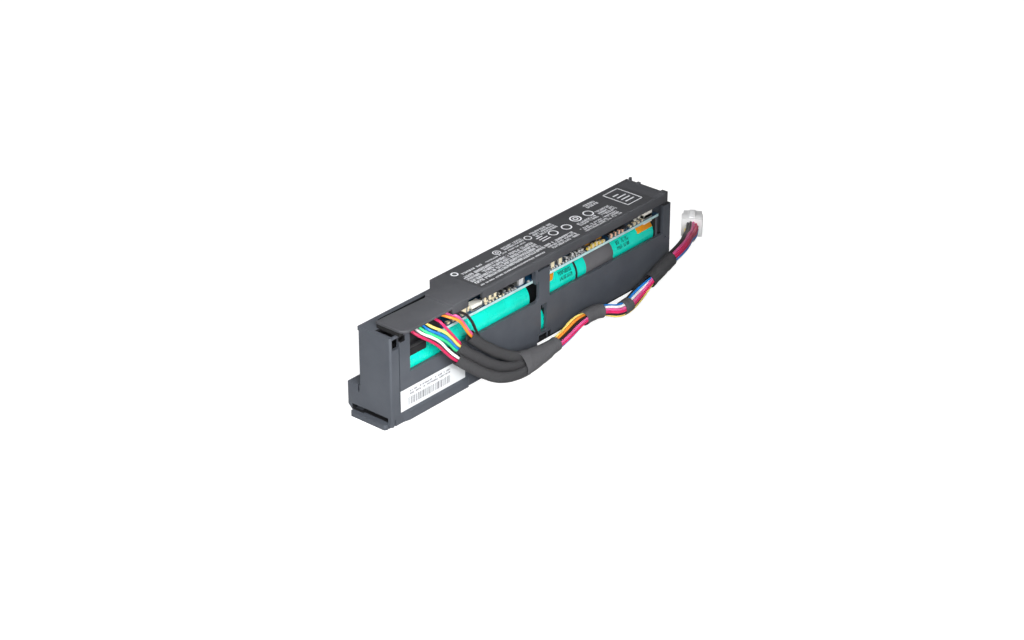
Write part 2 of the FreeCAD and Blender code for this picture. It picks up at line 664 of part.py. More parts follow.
def harness():
    made = {}
    for name, group, column, row, lane in WIRES:
        route = wire_route(group, column, row, lane)
        edges, radii = route_edges(route)
        made[name] = swept(edges, WIRE_DIAMETER)
        length = sum(edge.Length for edge in edges)
        print(name, "length", round(length, 1), "radii", [round(r, 1) for r in radii])
    for group in SLEEVE_ROUTES:
        route = group_route(group)
        edges, _ = route_edges(route)
        made[f"wire_sleeve_{group}"] = hollow_sweep(clipped(edges, route[2][0], SLEEVE_END),
                                                    SLEEVE_BORE, SLEEVE_WALL)
    trunk, radii = route_edges(TRUNK)
    print("trunk radii", [round(r, 1) for r in radii])
    for name, (start, end) in BUNDLE_COVERS.items():
        made[name] = hollow_sweep(clipped(trunk, start, end), TAPE_BORE, TAPE_WALL)
    return made


def connector_housing():
    """The multi-way end connector: a stepped body with a latch, square to the bundle."""
    half = CONNECTOR_WIDTH / 2
    body = block(0, CONNECTOR_LENGTH * 0.55, -half, half, 0, CONNECTOR_HEIGHT)
    nose = block(CONNECTOR_LENGTH * 0.5, CONNECTOR_LENGTH, -half + 0.8, half - 0.8,
                 0.8, CONNECTOR_HEIGHT - 0.8)
    shape = body.fuse(nose)
    for row in range(2):
        for way in range(5):
            y = -half + 1.9 + way * (CONNECTOR_WIDTH - 3.8 - 1.4) / 4
            z = 2.4 + row * 4.6
            shape = shape.cut(block(CONNECTOR_LENGTH - 4, CONNECTOR_LENGTH + 1, y, y + 1.4, z, z + 1.9))
    latch = block(2.0, CONNECTOR_LENGTH - 2, -1.8, 1.8, CONNECTOR_HEIGHT - 0.9, CONNECTOR_HEIGHT + 0.7)
    shape = shape.fuse(latch).removeSplitter()
    before, end = V(*TRUNK[-2]), V(*TRUNK[-1])
    along = V(end.x - before.x, end.y - before.y, 0)
    along.normalize()
    shape.rotate(V(0, 0, 0), V(0, 0, 1), math.degrees(math.atan2(along.y, along.x)))
    shape.translate(end + along * CONNECTOR_CLEARANCE - V(0, 0, CONNECTOR_HEIGHT / 2))
    return shape


def build():
    pieces = {
        "case_tray": case_tray(),
        "top_cover": top_cover(),
        "rating_label": rating_label(),
        "side_label": side_label(),
        "circuit_board": circuit_board(),
        "board_header": board_header(),
        "harness_plug": harness_plug(),
        "cell_sleeve": wrap_ring(right_start + CELL_LENGTH - 12.0, 24.0),
        "cell_ring": wrap_ring(right_start + 28.0, 1.6),
        "tape_pad_1": tape_pad(right_start + 5.2, right_start + 12.7),
        "tape_pad_2": tape_pad(right_end - 14.0, right_end - 0.6),
        "connector_housing": connector_housing(),
    }
    pieces.update(board_parts())
    pieces.update(cells_and_links())
    pieces.update(straps())
    pieces.update(harness())
    return pieces


os.makedirs("parts", exist_ok=True)
for node, shape in build().items():
    shape.translate(V(-centre_x, -centre_y, 0))
    if not shape.isValid():
        print("not valid:", node)
    shape.exportStep(f"parts/{node}.step")
print("tray", round(tray_length, 2), "x", round(tray_width, 2), "cover top", round(cover_top, 2),
      "centre", round(centre_x, 3), round(centre_y, 3))
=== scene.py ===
# %% [markdown]
# A slim battery module lies on a pale floor: a dark moulded tray full of round
# cells, a circuit board under a moulded cover, and a harness of thin coloured
# wires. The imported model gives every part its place, and this lesson dresses it.

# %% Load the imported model
import math
import random

import bpy
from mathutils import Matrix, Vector


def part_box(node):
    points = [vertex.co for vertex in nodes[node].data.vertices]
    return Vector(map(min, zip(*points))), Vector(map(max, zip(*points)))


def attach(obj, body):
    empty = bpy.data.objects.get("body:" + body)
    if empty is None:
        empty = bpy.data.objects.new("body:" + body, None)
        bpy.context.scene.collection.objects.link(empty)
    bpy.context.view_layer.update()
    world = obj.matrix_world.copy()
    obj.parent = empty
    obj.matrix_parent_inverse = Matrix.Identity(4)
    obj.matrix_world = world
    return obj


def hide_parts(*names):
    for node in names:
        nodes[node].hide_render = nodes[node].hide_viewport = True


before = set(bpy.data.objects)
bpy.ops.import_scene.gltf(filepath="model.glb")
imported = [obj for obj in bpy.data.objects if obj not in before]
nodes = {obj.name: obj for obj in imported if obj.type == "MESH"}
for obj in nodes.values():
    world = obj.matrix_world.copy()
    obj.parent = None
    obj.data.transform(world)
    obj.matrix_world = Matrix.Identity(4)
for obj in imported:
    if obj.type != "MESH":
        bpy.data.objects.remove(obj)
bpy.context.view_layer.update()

print("nodes in the frame:", len(nodes))

# %% [markdown]
# The parts were drawn in millimetres from the outer near corner of the tray. The
# frame's origin is the middle of the footprint, so one small function turns the
# drawing's points into places in this scene.

# %% From drawing millimetres to scene metres
MM = 0.001
DRAWING_CENTRE = Vector((117.6, 12.625, 0.0))


def place(x, y, z):
    return (Vector((x, y, z)) - DRAWING_CENTRE) * MM


def srgb(red, green, blue):
    """A colour as seen on screen, 0 to 255, turned into the linear values a shader wants."""
    made = []
    for value in (red, green, blue):
        share = value / 255
        made.append(share / 12.92 if share <= 0.04045 else ((share + 0.055) / 1.055) ** 2.4)
    return (*made, 1.0)


# %% [markdown]
# The camera stands left of the wire end, well back, with a long lens, so the long
# tray is only slightly foreshortened. Its place is a point on the module, moved
# back along the line of sight.

# %% Camera
CAMERA_AZIMUTH = math.radians(-49.41)
CAMERA_ELEVATION = math.radians(27.81)
CAMERA_LENS = 96.35
CAMERA_DISTANCE = 1.51435
AIM = Vector((-0.0056, -0.0006, 0.0215))
AIM_RIGHT, AIM_UP = -0.00066, -0.00395

back = Vector((math.sin(CAMERA_AZIMUTH) * math.cos(CAMERA_ELEVATION),
               -math.cos(CAMERA_AZIMUTH) * math.cos(CAMERA_ELEVATION),
               math.sin(CAMERA_ELEVATION)))
right = Vector((math.cos(CAMERA_AZIMUTH), math.sin(CAMERA_AZIMUTH), 0))
up = back.cross(right)
spot = AIM + right * AIM_RIGHT + up * AIM_UP + back * CAMERA_DISTANCE
bpy.ops.object.camera_add(location=spot, rotation=(-back).to_track_quat("-Z", "Y").to_euler())
camera = bpy.context.object
camera.data.lens = CAMERA_LENS
camera.data.sensor_width = 36.0
camera.data.sensor_fit = "HORIZONTAL"
camera.data.clip_start = 0.05
camera.data.clip_end = 30
bpy.context.scene.camera = camera
print("camera at", [round(value, 4) for value in spot])

# %% [markdown]
# Ten wires leave a plug under the tongue in two rows, gather into three flat
# sleeves, and run on as one bundle to the end connector. Their routes are short
# lists of points. Every wire keeps beside the middle line of its sleeve and of the
# bundle, so one function works out its own points.

# %% Routes of the bundle and the sleeves
TRUNK = [(99.0, -11.3, 4.9), (111.0, -10.9, 4.9), (128.0, -8.9, 4.9), (149.0, -5.9, 8.8),
         (167.0, -5.9, 8.2), (177.5, -13.2, 4.9), (202.5, -7.0, 7.0), (229.0, -6.8, 15.9),
         (248.0, -2.6, 16.6), (266.0, 8.6, 11.4), (279.0, 15.7, 5.75), (288.0, 21.8, 5.75)]
SLEEVE_ROUTES = {
    "a": [(43.0, -8.4, 51.8), (49.0, -6.8, 45.2), (54.6, -6.4, 36.5), (70.5, -6.9, 22.3),
          (84.0, -8.4, 13.2), (92.0, -9.6, 9.8)],
    "b": [(31.5, -8.6, 48.6), (38.5, -7.8, 41.5), (43.5, -7.8, 35.0), (54.0, -8.6, 26.2),
          (66.0, -9.6, 16.5), (76.5, -10.3, 10.0), (84.0, -10.9, 7.0), (92.0, -11.2, 5.2)],
    "c": [(26.0, -8.8, 46.0), (34.0, -8.6, 36.4), (40.5, -9.4, 29.6), (57.2, -12.8, 15.4),
          (70.2, -14.6, 7.3), (84.0, -15.3, 3.8), (92.0, -15.2, 3.4)],
}

# %% [markdown]
# Between the bands the bundle lies open, and the photograph shows which colours
# come up there. So each wire gets a place round the bundle, as an angle, for the
# stretch before the first band, for the stretches after it, and for the end.

# %% Each wire's exit, its lane in the sleeve and its places round the bundle
WIRE_DIAMETER = 1.6
WIRE_PITCH = 1.7
RING_RADIUS = 2.9
FAN_SPREAD = 1.3
CONNECTOR_SPREAD = 1.25
PLUG_FRONT, PLUG_FIRST, PLUG_PITCH, PLUG_ROW_STEP = 4.0, 16.0, 5.6, 1.7
PLUG_TOP_ROW = 55.6
WIRES = [
    ("wire_pink", "a", 4, 0, (42.5, -1.4, 52.9), (0.2, 1.0), (-0.5, 0.29), (160, 151, 108), 289),
    ("wire_orange", "a", 4, 1, (36.5, -4.6, 55.5), (-0.3, 0.1), (0.5, 0.29), (95, 272, 305), 285),
    ("wire_brown", "a", 3, 0, (43.0, -1.2, 54.6), (1.2, 1.4), (0.0, -0.58), (128, 212, 80), 292),
    ("wire_crimson", "b", 3, 1, (32.0, -4.6, 55.2), (0.1, 1.5), (0.5, 0.5), (192, 182, 136), 293),
    ("wire_yellow", "b", 2, 0, (22.5, -4.8, 55.6), (-0.3, 0.5), (-0.5, 0.5), (62, 240, 340), 300),
    ("wire_blue", "b", 2, 1, (21.0, -4.0, 54.0), (-0.1, -0.5), (0.5, -0.5), (225, 84, 194), 297),
    ("wire_green", "b", 1, 0, (17.0, -4.8, 55.6), (-0.2, -1.4), (-0.5, -0.5), (262, 305, 272), 305),
    ("wire_white", "c", 1, 1, (14.0, -5.0, 55.4), (-0.3, 0.6), (0.0, 0.58), (300, 117, 222), 306),
    ("wire_red", "c", 0, 0, (11.5, -4.8, 55.2), (-0.1, -0.5), (-0.5, -0.29), (340, 345, 163), 314),
    ("wire_black", "c", 0, 1, (16.2, -3.4, 53.9), (0.7, 0.0), (0.5, -0.29), (20, 35, 52), 309),
]
FAN_POINTS = 3
LISTED_POINTS = {"wire_brown": [(51.8, -5.0, 51.7), (57.7, -5.5, 44.7), (61.7, -6.5, 33.9)]}
STRETCH_OF_POINT = [0, 0, 0, 0, 1, 1, 1, 2, 2, 2, 2, 2]
LOOSE = {("wire_yellow", 3): 4.2, ("wire_orange", 3): 3.6, ("wire_yellow", 6): 4.6,
         ("wire_yellow", 5): 3.6}


def beside(points, offsets):
    """A route beside another: each point is moved inwards and upwards, square to the run."""
    spots = [Vector(p) for p in points]
    last = len(spots) - 1
    moved = []
    for number, (here, (inwards, upwards)) in enumerate(zip(spots, offsets)):
        before = spots[max(number - 1, 0)]
        after = spots[min(number + 1, last)]
        along = (after - before).normalized()
        side = Vector((-along.y, along.x, 0)).normalized()
        moved.append(here + side * inwards + along.cross(side) * upwards)
    return moved


def wire_route(name, group, column, row, exit_point, fan, lane, angles):
    """From the plug through the exit, then beside the sleeve and the bundle to the end."""
    start = Vector((PLUG_FIRST + column * PLUG_PITCH, PLUG_FRONT,
                    PLUG_TOP_ROW - row * PLUG_ROW_STEP))
    offsets = []
    for number in range(len(SLEEVE_ROUTES[group])):
        inwards, upwards = fan if number < FAN_POINTS else lane
        spread = WIRE_PITCH * (FAN_SPREAD if number == 0 else 1.0)
        offsets.append((inwards * spread, upwards * spread))
    for number, stretch_number in enumerate(STRETCH_OF_POINT):
        angle = math.radians(angles[stretch_number])
        reach = LOOSE.get((name, number), RING_RADIUS)
        if number >= len(TRUNK) - 2:
            reach *= CONNECTOR_SPREAD
        offsets.append((reach * math.cos(angle), reach * math.sin(angle)))
    run = beside(SLEEVE_ROUTES[group] + TRUNK, offsets)
    listed_points = [Vector(point) for point in LISTED_POINTS.get(name, ())]
    return [start, Vector(exit_point), *listed_points, *run[len(listed_points):]]


# %% [markdown]
# A route becomes one smooth NURBS line with its points as control points. The
# order and the end points are set after the points are there, because set before,
# they would leave straight runs.

# %% A smooth line through a route
def smooth_curve(name, route, radius=0.0):
    data = bpy.data.curves.new(name, "CURVE")
    data.dimensions = "3D"
    data.resolution_u = 10
    spline = data.splines.new("NURBS")
    spline.points.add(len(route) - 1)
    for point, here in zip(spline.points, route):
        point.co = (*place(*here), 1.0)
    spline.order_u = 3
    spline.use_endpoint_u = True
    if radius:
        data.bevel_depth = radius
        data.bevel_resolution = 4
        data.use_fill_caps = True
    curve = bpy.data.objects.new(name, data)
    bpy.context.collection.objects.link(curve)
    return curve


def smooth_points(route):
    """The points of a route's smooth line, read from a curve without thickness."""
    curve = smooth_curve("line to read", route)
    curve.data.resolution_u = 24
    bpy.context.view_layer.update()
    graph = bpy.context.evaluated_depsgraph_get()
    mesh = bpy.data.meshes.new_from_object(curve.evaluated_get(graph))
    points = [vertex.co.copy() for vertex in mesh.vertices]
    bpy.data.meshes.remove(mesh)
    bpy.data.objects.remove(curve)
    return points


# %% [markdown]
# Every finish is a node material. What several finishes share, such as the fine
# grain of moulded plastic, is a node group with named sockets, built once.

# %% Helpers for node groups
def new_group(name, inputs, outputs):
    group = bpy.data.node_groups.new(name, "ShaderNodeTree")
    for socket, kind, value in inputs:
        made = group.interface.new_socket(name=socket, in_out="INPUT", socket_type=kind)
        if value is not None:
            made.default_value = value
    for socket, kind in outputs:
        group.interface.new_socket(name=socket, in_out="OUTPUT", socket_type=kind)
    start = group.nodes.new("NodeGroupInput")
    end = group.nodes.new("NodeGroupOutput")
    return group, start, end


def set_inputs(node, values):
    for key, value in values.items():
        node.inputs[key].default_value = value


def add_node(tree, kind, values=None, links=None, **settings):
    """A node with its settings, its socket values and what is linked into it."""
    node = tree.nodes.new(kind)
    for key, value in settings.items():
        setattr(node, key, value)
    set_inputs(node, values or {})
    for key, source in (links or {}).items():
        tree.links.new(source, node.inputs[key])
    return node


def math_node(tree, operation, first, second=None):
    node = tree.nodes.new("ShaderNodeMath")
    node.operation = operation
    for number, value in enumerate((first, second)):
        if value is None:
            continue
        if isinstance(value, (int, float)):
            node.inputs[number].default_value = value
        else:
            tree.links.new(value, node.inputs[number])
    return node.outputs[0]


def new_material(name, group_tree, group_values, fed, values):
    """A material whose Principled shader is fed by a node group on the sockets in fed."""
    material = bpy.data.materials.new(name)
    material.use_nodes = True
    tree = material.node_tree
    shader = tree.nodes["Principled BSDF"]
    group = add_node(tree, "ShaderNodeGroup", group_values, node_tree=group_tree)
    for output, socket in fed.items():
        tree.links.new(group.outputs[output], shader.inputs[socket])
    set_inputs(shader, values)
    return material


FLOAT, COLOUR, VECTOR = "NodeSocketFloat", "NodeSocketColor", "NodeSocketVector"

# %% [markdown]
# Moulded plastic isn't one flat colour. Its skin has a fine grain from the mould,
# patches that shine a little more, and a faint drift of tone. Noise at three
# scales gives all of that from Object coordinates.

# %% Group: surface grain
ROUGHNESS_DRIFT = 0.08
COAT_ROUGHNESS = 0.15
grain, start, end = new_group(
    "surface grain",
    [("Colour", COLOUR, (0.1, 0.1, 0.1, 1)), ("Second colour", COLOUR, (0.12, 0.12, 0.12, 1)),
     ("Patch scale", FLOAT, 40.0), ("Grain scale", FLOAT, 2500.0), ("Roughness", FLOAT, 0.5),
     ("Roughness drift", FLOAT, 0.1), ("Grain height", FLOAT, 0.00002)],
    [("Colour", COLOUR), ("Roughness", FLOAT), ("Normal", VECTOR)])
where = add_node(grain, "ShaderNodeTexCoord")
patches = add_node(grain, "ShaderNodeTexNoise", {"Detail": 4.0, "Roughness": 0.6},
                   {"Vector": where.outputs["Object"], "Scale": start.outputs["Patch scale"]})
fine = add_node(grain, "ShaderNodeTexNoise", {"Detail": 2.0},
                {"Vector": where.outputs["Object"], "Scale": start.outputs["Grain scale"]})
blend = add_node(grain, "ShaderNodeMapRange", {"From Min": 0.35, "From Max": 0.65},
                 {"Value": patches.outputs["Fac"]})
mixed = add_node(grain, "ShaderNodeMix", links={"Factor": blend.outputs["Result"],
                 6: start.outputs["Colour"], 7: start.outputs["Second colour"]}, data_type="RGBA")
drift = math_node(grain, "MULTIPLY", math_node(grain, "SUBTRACT", patches.outputs["Fac"], 0.5),
                  start.outputs["Roughness drift"])
drift = math_node(grain, "ADD", start.outputs["Roughness"],
                  math_node(grain, "MULTIPLY", drift, 3.0))
bump = add_node(grain, "ShaderNodeBump", {"Strength": 0.6},
                {"Distance": start.outputs["Grain height"], "Height": fine.outputs["Fac"]})
grain.links.new(mixed.outputs[2], end.inputs["Colour"])
grain.links.new(drift, end.inputs["Roughness"])
grain.links.new(bump.outputs["Normal"], end.inputs["Normal"])


def finish(name, colour, second, patch=40.0, scale=2500.0, roughness=0.5, height=0.00002,
           metallic=0.0, coat=0.0):
    """A material made of the surface grain and one Principled shader."""
    return new_material(
        name, grain,
        {"Colour": colour, "Second colour": second, "Patch scale": patch, "Grain scale": scale,
         "Roughness": roughness, "Roughness drift": ROUGHNESS_DRIFT, "Grain height": height},
        {"Colour": "Base Color", "Roughness": "Roughness", "Normal": "Normal"},
        {"Metallic": metallic, "Coat Weight": coat, "Coat Roughness": COAT_ROUGHNESS})


# %% [markdown]
# The dark plastics differ a little: the tray is a cool grey black, the cover the
# same with a softer sheen, and the labels are printed film and paper.

# %% Plain finishes
tray_plastic = finish("tray plastic", srgb(78, 82, 89), srgb(69, 73, 80), roughness=0.46)
cover_plastic = finish("cover plastic", srgb(74, 75, 79), srgb(65, 66, 70), roughness=0.5)
white_nylon = finish("white nylon", srgb(236, 234, 226), srgb(226, 223, 212), roughness=0.35)
cream_ceramic = finish("cream ceramic", srgb(240, 230, 200), srgb(222, 206, 168), roughness=0.4)
pale_resin = finish("pale resin", srgb(222, 222, 222), srgb(190, 190, 192), roughness=0.45)
black_resin = finish("black resin", srgb(38, 38, 40), srgb(30, 30, 32), roughness=0.38)
ferrite = finish("ferrite", srgb(52, 50, 50), srgb(40, 38, 38), roughness=0.55)
gold_wire = finish("gold wire", srgb(214, 160, 60), srgb(190, 134, 40), roughness=0.3, metallic=0.8)
peach_ceramic = finish("peach ceramic", srgb(240, 190, 160), srgb(222, 160, 128), roughness=0.4)
gilt = finish("gilt ends", srgb(242, 216, 104), srgb(224, 190, 70), roughness=0.35, metallic=0.2)
solder = finish("solder", srgb(200, 200, 198), srgb(176, 176, 174), roughness=0.28, metallic=0.9)
nickel = finish("nickel strip", srgb(196, 194, 188), srgb(176, 174, 168), roughness=0.3, metallic=0.9)
amber_film = finish("amber film", srgb(226, 150, 24), srgb(204, 126, 14), roughness=0.28, coat=0.4,
                    scale=600.0, height=0.00004)
black_wrap = finish("black wrap", srgb(104, 103, 106), srgb(90, 89, 92), roughness=0.34, scale=900.0)

WIRE_COLOURS = {
    "wire_pink": (232, 96, 158), "wire_orange": (250, 150, 54), "wire_brown": (46, 38, 38),
    "wire_crimson": (226, 44, 104), "wire_yellow": (252, 226, 120), "wire_blue": (34, 128, 214),
    "wire_green": (58, 214, 140), "wire_white": (246, 246, 246), "wire_red": (204, 36, 88),
    "wire_black": (42, 42, 44),
}
wire_finishes = {
    name: finish(name.replace("_", " "), srgb(*rgb), srgb(*[0.9 * part for part in rgb]),
                 patch=120.0, scale=1800.0, roughness=0.36, height=0.00001)
    for name, rgb in WIRE_COLOURS.items()
}

# %% [markdown]
# Sleeves and tape are cloth. Their pieces carry a UV map in millimetres, along and
# around, so two crossing waves in UV space make a braid that follows every bend.

# %% Group: braid
braid, start, end = new_group(
    "braid",
    [("Dark", COLOUR, (0.02, 0.02, 0.02, 1)), ("Light", COLOUR, (0.06, 0.06, 0.06, 1)),
     ("Threads per mm", FLOAT, 1.6), ("Height", FLOAT, 0.0001)],
    [("Colour", COLOUR), ("Normal", VECTOR)])
where = add_node(braid, "ShaderNodeTexCoord")
parts = add_node(braid, "ShaderNodeSeparateXYZ", links={"Vector": where.outputs["UV"]})
turn = math_node(braid, "MULTIPLY", start.outputs["Threads per mm"], 2 * math.pi)
first = math_node(braid, "ADD", parts.outputs["X"], parts.outputs["Y"])
second = math_node(braid, "SUBTRACT", parts.outputs["X"], parts.outputs["Y"])
wave_1 = math_node(braid, "SINE", math_node(braid, "MULTIPLY", first, turn))
wave_2 = math_node(braid, "SINE", math_node(braid, "MULTIPLY", second, turn))
over = math_node(braid, "MAXIMUM", wave_1, wave_2)
share = add_node(braid, "ShaderNodeMapRange", {"From Min": -0.6, "From Max": 1.0}, {"Value": over})
tone = add_node(braid, "ShaderNodeMix", links={"Factor": share.outputs["Result"],
                6: start.outputs["Dark"], 7: start.outputs["Light"]}, data_type="RGBA")
relief = add_node(braid, "ShaderNodeBump", {"Strength": 0.5},
                  {"Distance": start.outputs["Height"], "Height": share.outputs["Result"]})
braid.links.new(tone.outputs[2], end.inputs["Colour"])
braid.links.new(relief.outputs["Normal"], end.inputs["Normal"])


def cloth_finish(name, dark, light, threads, height, roughness):
    return new_material(
        name, braid, {"Dark": dark, "Light": light, "Threads per mm": threads, "Height": height},
        {"Colour": "Base Color", "Normal": "Normal"}, {"Roughness": roughness})


sleeving = cloth_finish("woven sleeving", srgb(38, 38, 40), srgb(68, 68, 70), 0.9, 0.00012, 0.6)
cloth_tape = cloth_finish("cloth tape", srgb(66, 66, 68), srgb(92, 92, 95), 1.7, 0.00005, 0.7)

# %% [markdown]
# Now the cords. Each wire is one smooth curve with a round section. It rides on
# the module's only body and replaces its plain tube.

# %% Wires
ROOT = "root"
for name, *facts, length in WIRES:
    route = wire_route(name, *facts)
    wire = smooth_curve(name.replace("wire", "lead"), route, WIRE_DIAMETER / 2 * MM)
    wire.data.materials.append(wire_finishes[name])
    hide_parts(name)
    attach(wire, ROOT)

# %% [markdown]
# Every piece is made by the same few steps: nothing stays selected from the step
# before, a box is set between two corners, and a bevel rounds the sharp edges.

# %% Helpers for pieces
def deselect():
    if bpy.context.object and bpy.context.object.mode != "OBJECT":
        bpy.ops.object.mode_set(mode="OBJECT")
    bpy.ops.object.select_all(action="DESELECT")


def edit_all(piece):
    """Selects one piece alone, with the whole of its mesh, and enters edit mode."""
    deselect()
    piece.select_set(True)
    bpy.context.view_layer.objects.active = piece
    bpy.ops.object.mode_set(mode="EDIT")
    bpy.ops.mesh.select_all(action="SELECT")


def select_faces(piece, test):
    bpy.ops.object.mode_set(mode="OBJECT")
    for face in piece.data.polygons:
        face.select = test(face)
    bpy.ops.object.mode_set(mode="EDIT")


def add_box(name, centre, size, *materials):
    """A box with its size applied, selected and active."""
    deselect()
    bpy.ops.mesh.primitive_cube_add(size=1.0, location=centre)
    box = bpy.context.object
    box.name = name
    box.scale = size
    bpy.ops.object.transform_apply(location=True, rotation=False, scale=True)
    for material in materials:
        box.data.materials.append(material)
    return box


def box_between(name, low, high, *materials):
    return add_box(name, (low + high) / 2, high - low, *materials)


def round_edges(piece, width, segments=2, angle=35):
    """Bevels the active piece where its faces meet at more than the angle, in degrees."""
    bevel = piece.modifiers.new("round edges", "BEVEL")
    bevel.width = width
    bevel.segments = segments
    bevel.limit_method = "ANGLE"
    bevel.angle_limit = math.radians(angle)
    bpy.ops.object.modifier_apply(modifier=bevel.name)


def join_all(pieces, name):
    deselect()
    for piece in pieces:
        piece.select_set(True)
    bpy.context.view_layer.objects.active = pieces[0]
    if len(pieces) > 1:
        bpy.ops.object.join()
    pieces[0].name = name
    return pieces[0]


def dress(piece, material):
    """Gives a piece one material in place of what it had."""
    piece.data.materials.clear()
    piece.data.materials.append(material)


# %% [markdown]
# A sleeve is a soft tube on its wires. Rings of points are set square to the
# smooth line and joined, once outside and once inside, so it has a wall and open
# ends. A small swell that differs from ring to ring keeps it from looking turned.

# %% A soft tube along a line
AROUND = 28


def tube_on_line(name, line, radius_at, wall, material):
    """line is in metres, radius_at gives the outer radius at a share of the length."""
    rings = []
    for number, here in enumerate(line):
        ahead = line[min(number + 1, len(line) - 1)]
        behind = line[max(number - 1, 0)]
        along = (ahead - behind).normalized()
        side = Vector((-along.y, along.x, 0)).normalized()
        rings.append((here, side, along.cross(side)))
    travelled = [0.0]
    for before, after in zip(line, line[1:]):
        travelled.append(travelled[-1] + (after - before).length)
    total = travelled[-1]
    vertices = []
    for skin in (0.0, wall):
        for (here, side, rise), far in zip(rings, travelled):
            for step in range(AROUND):
                angle = 2 * math.pi * step / AROUND
                radius = radius_at(far / total, angle) - skin
                vertices.append(here + side * radius * math.cos(angle)
                                + rise * radius * math.sin(angle))
    count = len(line)
    faces = []
    for ring in range(count - 1):
        for step in range(AROUND):
            after = (step + 1) % AROUND
            outer = ring * AROUND
            inner = (count + ring) * AROUND
            faces.append((outer + step, outer + after,
                          outer + AROUND + after, outer + AROUND + step))
            faces.append((inner + step, inner + AROUND + step,
                          inner + AROUND + after, inner + after))
    for ring, flip in ((0, True), (count - 1, False)):
        for step in range(AROUND):
            after = (step + 1) % AROUND
            outer = ring * AROUND
            inner = (count + ring) * AROUND
            face = (outer + step, outer + after, inner + after, inner + step)
            faces.append(face[::-1] if flip else face)
    mesh = bpy.data.meshes.new(name)
    mesh.from_pydata(vertices, [], faces)
    layer = mesh.uv_layers.new(name="UVMap")
    for polygon in mesh.polygons:
        for loop in polygon.loop_indices:
            vertex = mesh.loops[loop].vertex_index % (count * AROUND)
            ring, step = divmod(vertex, AROUND)
            if step == 0 and any(mesh.loops[other].vertex_index % AROUND == AROUND - 1
                                 for other in polygon.loop_indices):
                step = AROUND
            width = 2 * math.pi * radius_at(travelled[ring] / total, 0.0) / MM
            layer.data[loop].uv = (travelled[ring] / MM, width * step / AROUND)
    piece = bpy.data.objects.new(name, mesh)
    bpy.context.collection.objects.link(piece)
    mesh.materials.append(material)
    edit_all(piece)
    bpy.ops.mesh.normals_make_consistent(inside=False)
    bpy.ops.object.mode_set(mode="OBJECT")
    bpy.ops.object.shade_smooth_by_angle(angle=math.radians(50))
    return piece


def stretch(points, start_x, end_x):
    """The part of a line between two drawing distances along the tray."""
    low = place(start_x, 0, 0).x
    high = place(end_x, 0, 0).x
    return [point for point in points if low <= point.x <= high]


# %% [markdown]
# The three sleeves are flat tubes that lie against each other and run into the
# tape, whose mouth is drawn out to go round them. Cloth tape is wound in a slow
# spiral, so each lap leaves a small step that runs round it.

# %% Sleeves, tape and bands
SLEEVE_HALF_DEPTH, SLEEVE_HALF_WIDTH = 2.1, 3.15
END_HALF_DEPTH, END_HALF_WIDTH = 3.9, 4.5
TAPE_RADIUS = 4.15
LAP_STEP = 0.22
MOUTH_LEAN = math.radians(48)
SLEEVE_END = 95.0
COVER_WALL = 0.3 * MM
TAPE_START = [(89.0, -12.5, 7.4), (94.0, -12.3, 6.6), (99.0, -11.9, 6.0), (104.0, -11.3, 5.5)]


def oval(angle, half_depth, half_width):
    """The reach of an oval section at an angle from its depth."""
    wide, deep = half_depth * math.sin(angle), half_width * math.cos(angle)
    return half_depth * half_width / math.sqrt(wide * wide + deep * deep)


def sleeve_radius(phase, half_depth, half_width):
    def at(share, angle):
        ripple = 0.06 * math.sin(17 * share + phase)
        ripple += 0.05 * math.sin(29 * share + 2 * phase + angle)
        flare = 0.15 * max(0.0, 1 - 25 * share)
        return (oval(angle, half_depth, half_width) + ripple + flare) * MM
    return at


def tape_radius(turns, mouth=0.0):
    """Round with laps, and at a wide mouth drawn out to go round three sleeves."""
    def at(share, angle):
        lap = (turns * share + angle / (2 * math.pi)) % 1.0
        wide = mouth * max(0.0, 1 - 1.15 * share)
        reach = oval(angle - MOUTH_LEAN - math.pi / 2,
                     TAPE_RADIUS - 0.06 * wide, TAPE_RADIUS + wide)
        return (reach + LAP_STEP * (lap - 0.5)) * MM
    return at


trunk_line = smooth_points(TRUNK)
soft_covers = {}
for number, (group, route) in enumerate(SLEEVE_ROUTES.items()):
    line = stretch(smooth_points(route + TRUNK[:2]), route[FAN_POINTS - 1][0], SLEEVE_END)
    radius_at = sleeve_radius(1.7 * number, SLEEVE_HALF_DEPTH, SLEEVE_HALF_WIDTH)
    piece = tube_on_line(f"sleeve_{group}", line, radius_at, COVER_WALL, sleeving)
    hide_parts(f"wire_sleeve_{group}")
    soft_covers[group] = piece
end_radius = sleeve_radius(0.6, END_HALF_DEPTH, END_HALF_WIDTH)
covers = {
    "bundle_tape": ("bundle_wrap", smooth_points(TAPE_START + TRUNK[1:4]), 89.5, 124.0,
                    tape_radius(3.2, 3.3), cloth_tape, "black_tape"),
    "band_1": ("wrap_band_1", trunk_line, 151.0, 167.0, tape_radius(2.3), cloth_tape, "black_tape"),
    "band_2": ("wrap_band_2", trunk_line, 178.5, 186.0, tape_radius(1.2), cloth_tape, "black_tape"),
    "end_sleeve": ("end_cover", trunk_line, 209.0, 232.0, end_radius, sleeving, "black_sleeving"),
}
for node, (name, line, start_x, end_x, radius_at, material, slot) in covers.items():
    piece = tube_on_line(name, stretch(line, start_x, end_x), radius_at, COVER_WALL, material)
    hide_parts(node)
    soft_covers[node] = piece
for piece in soft_covers.values():
    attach(piece, ROOT)
print("soft covers:", sorted(soft_covers))

# %% [markdown]
# Hard moulded parts come from the frame as loose triangles with knife edges. A
# copy of such a mesh is merged, its flat faces are joined again, and a narrow
# bevel rounds every edge, because edges that catch light make plastic look real.

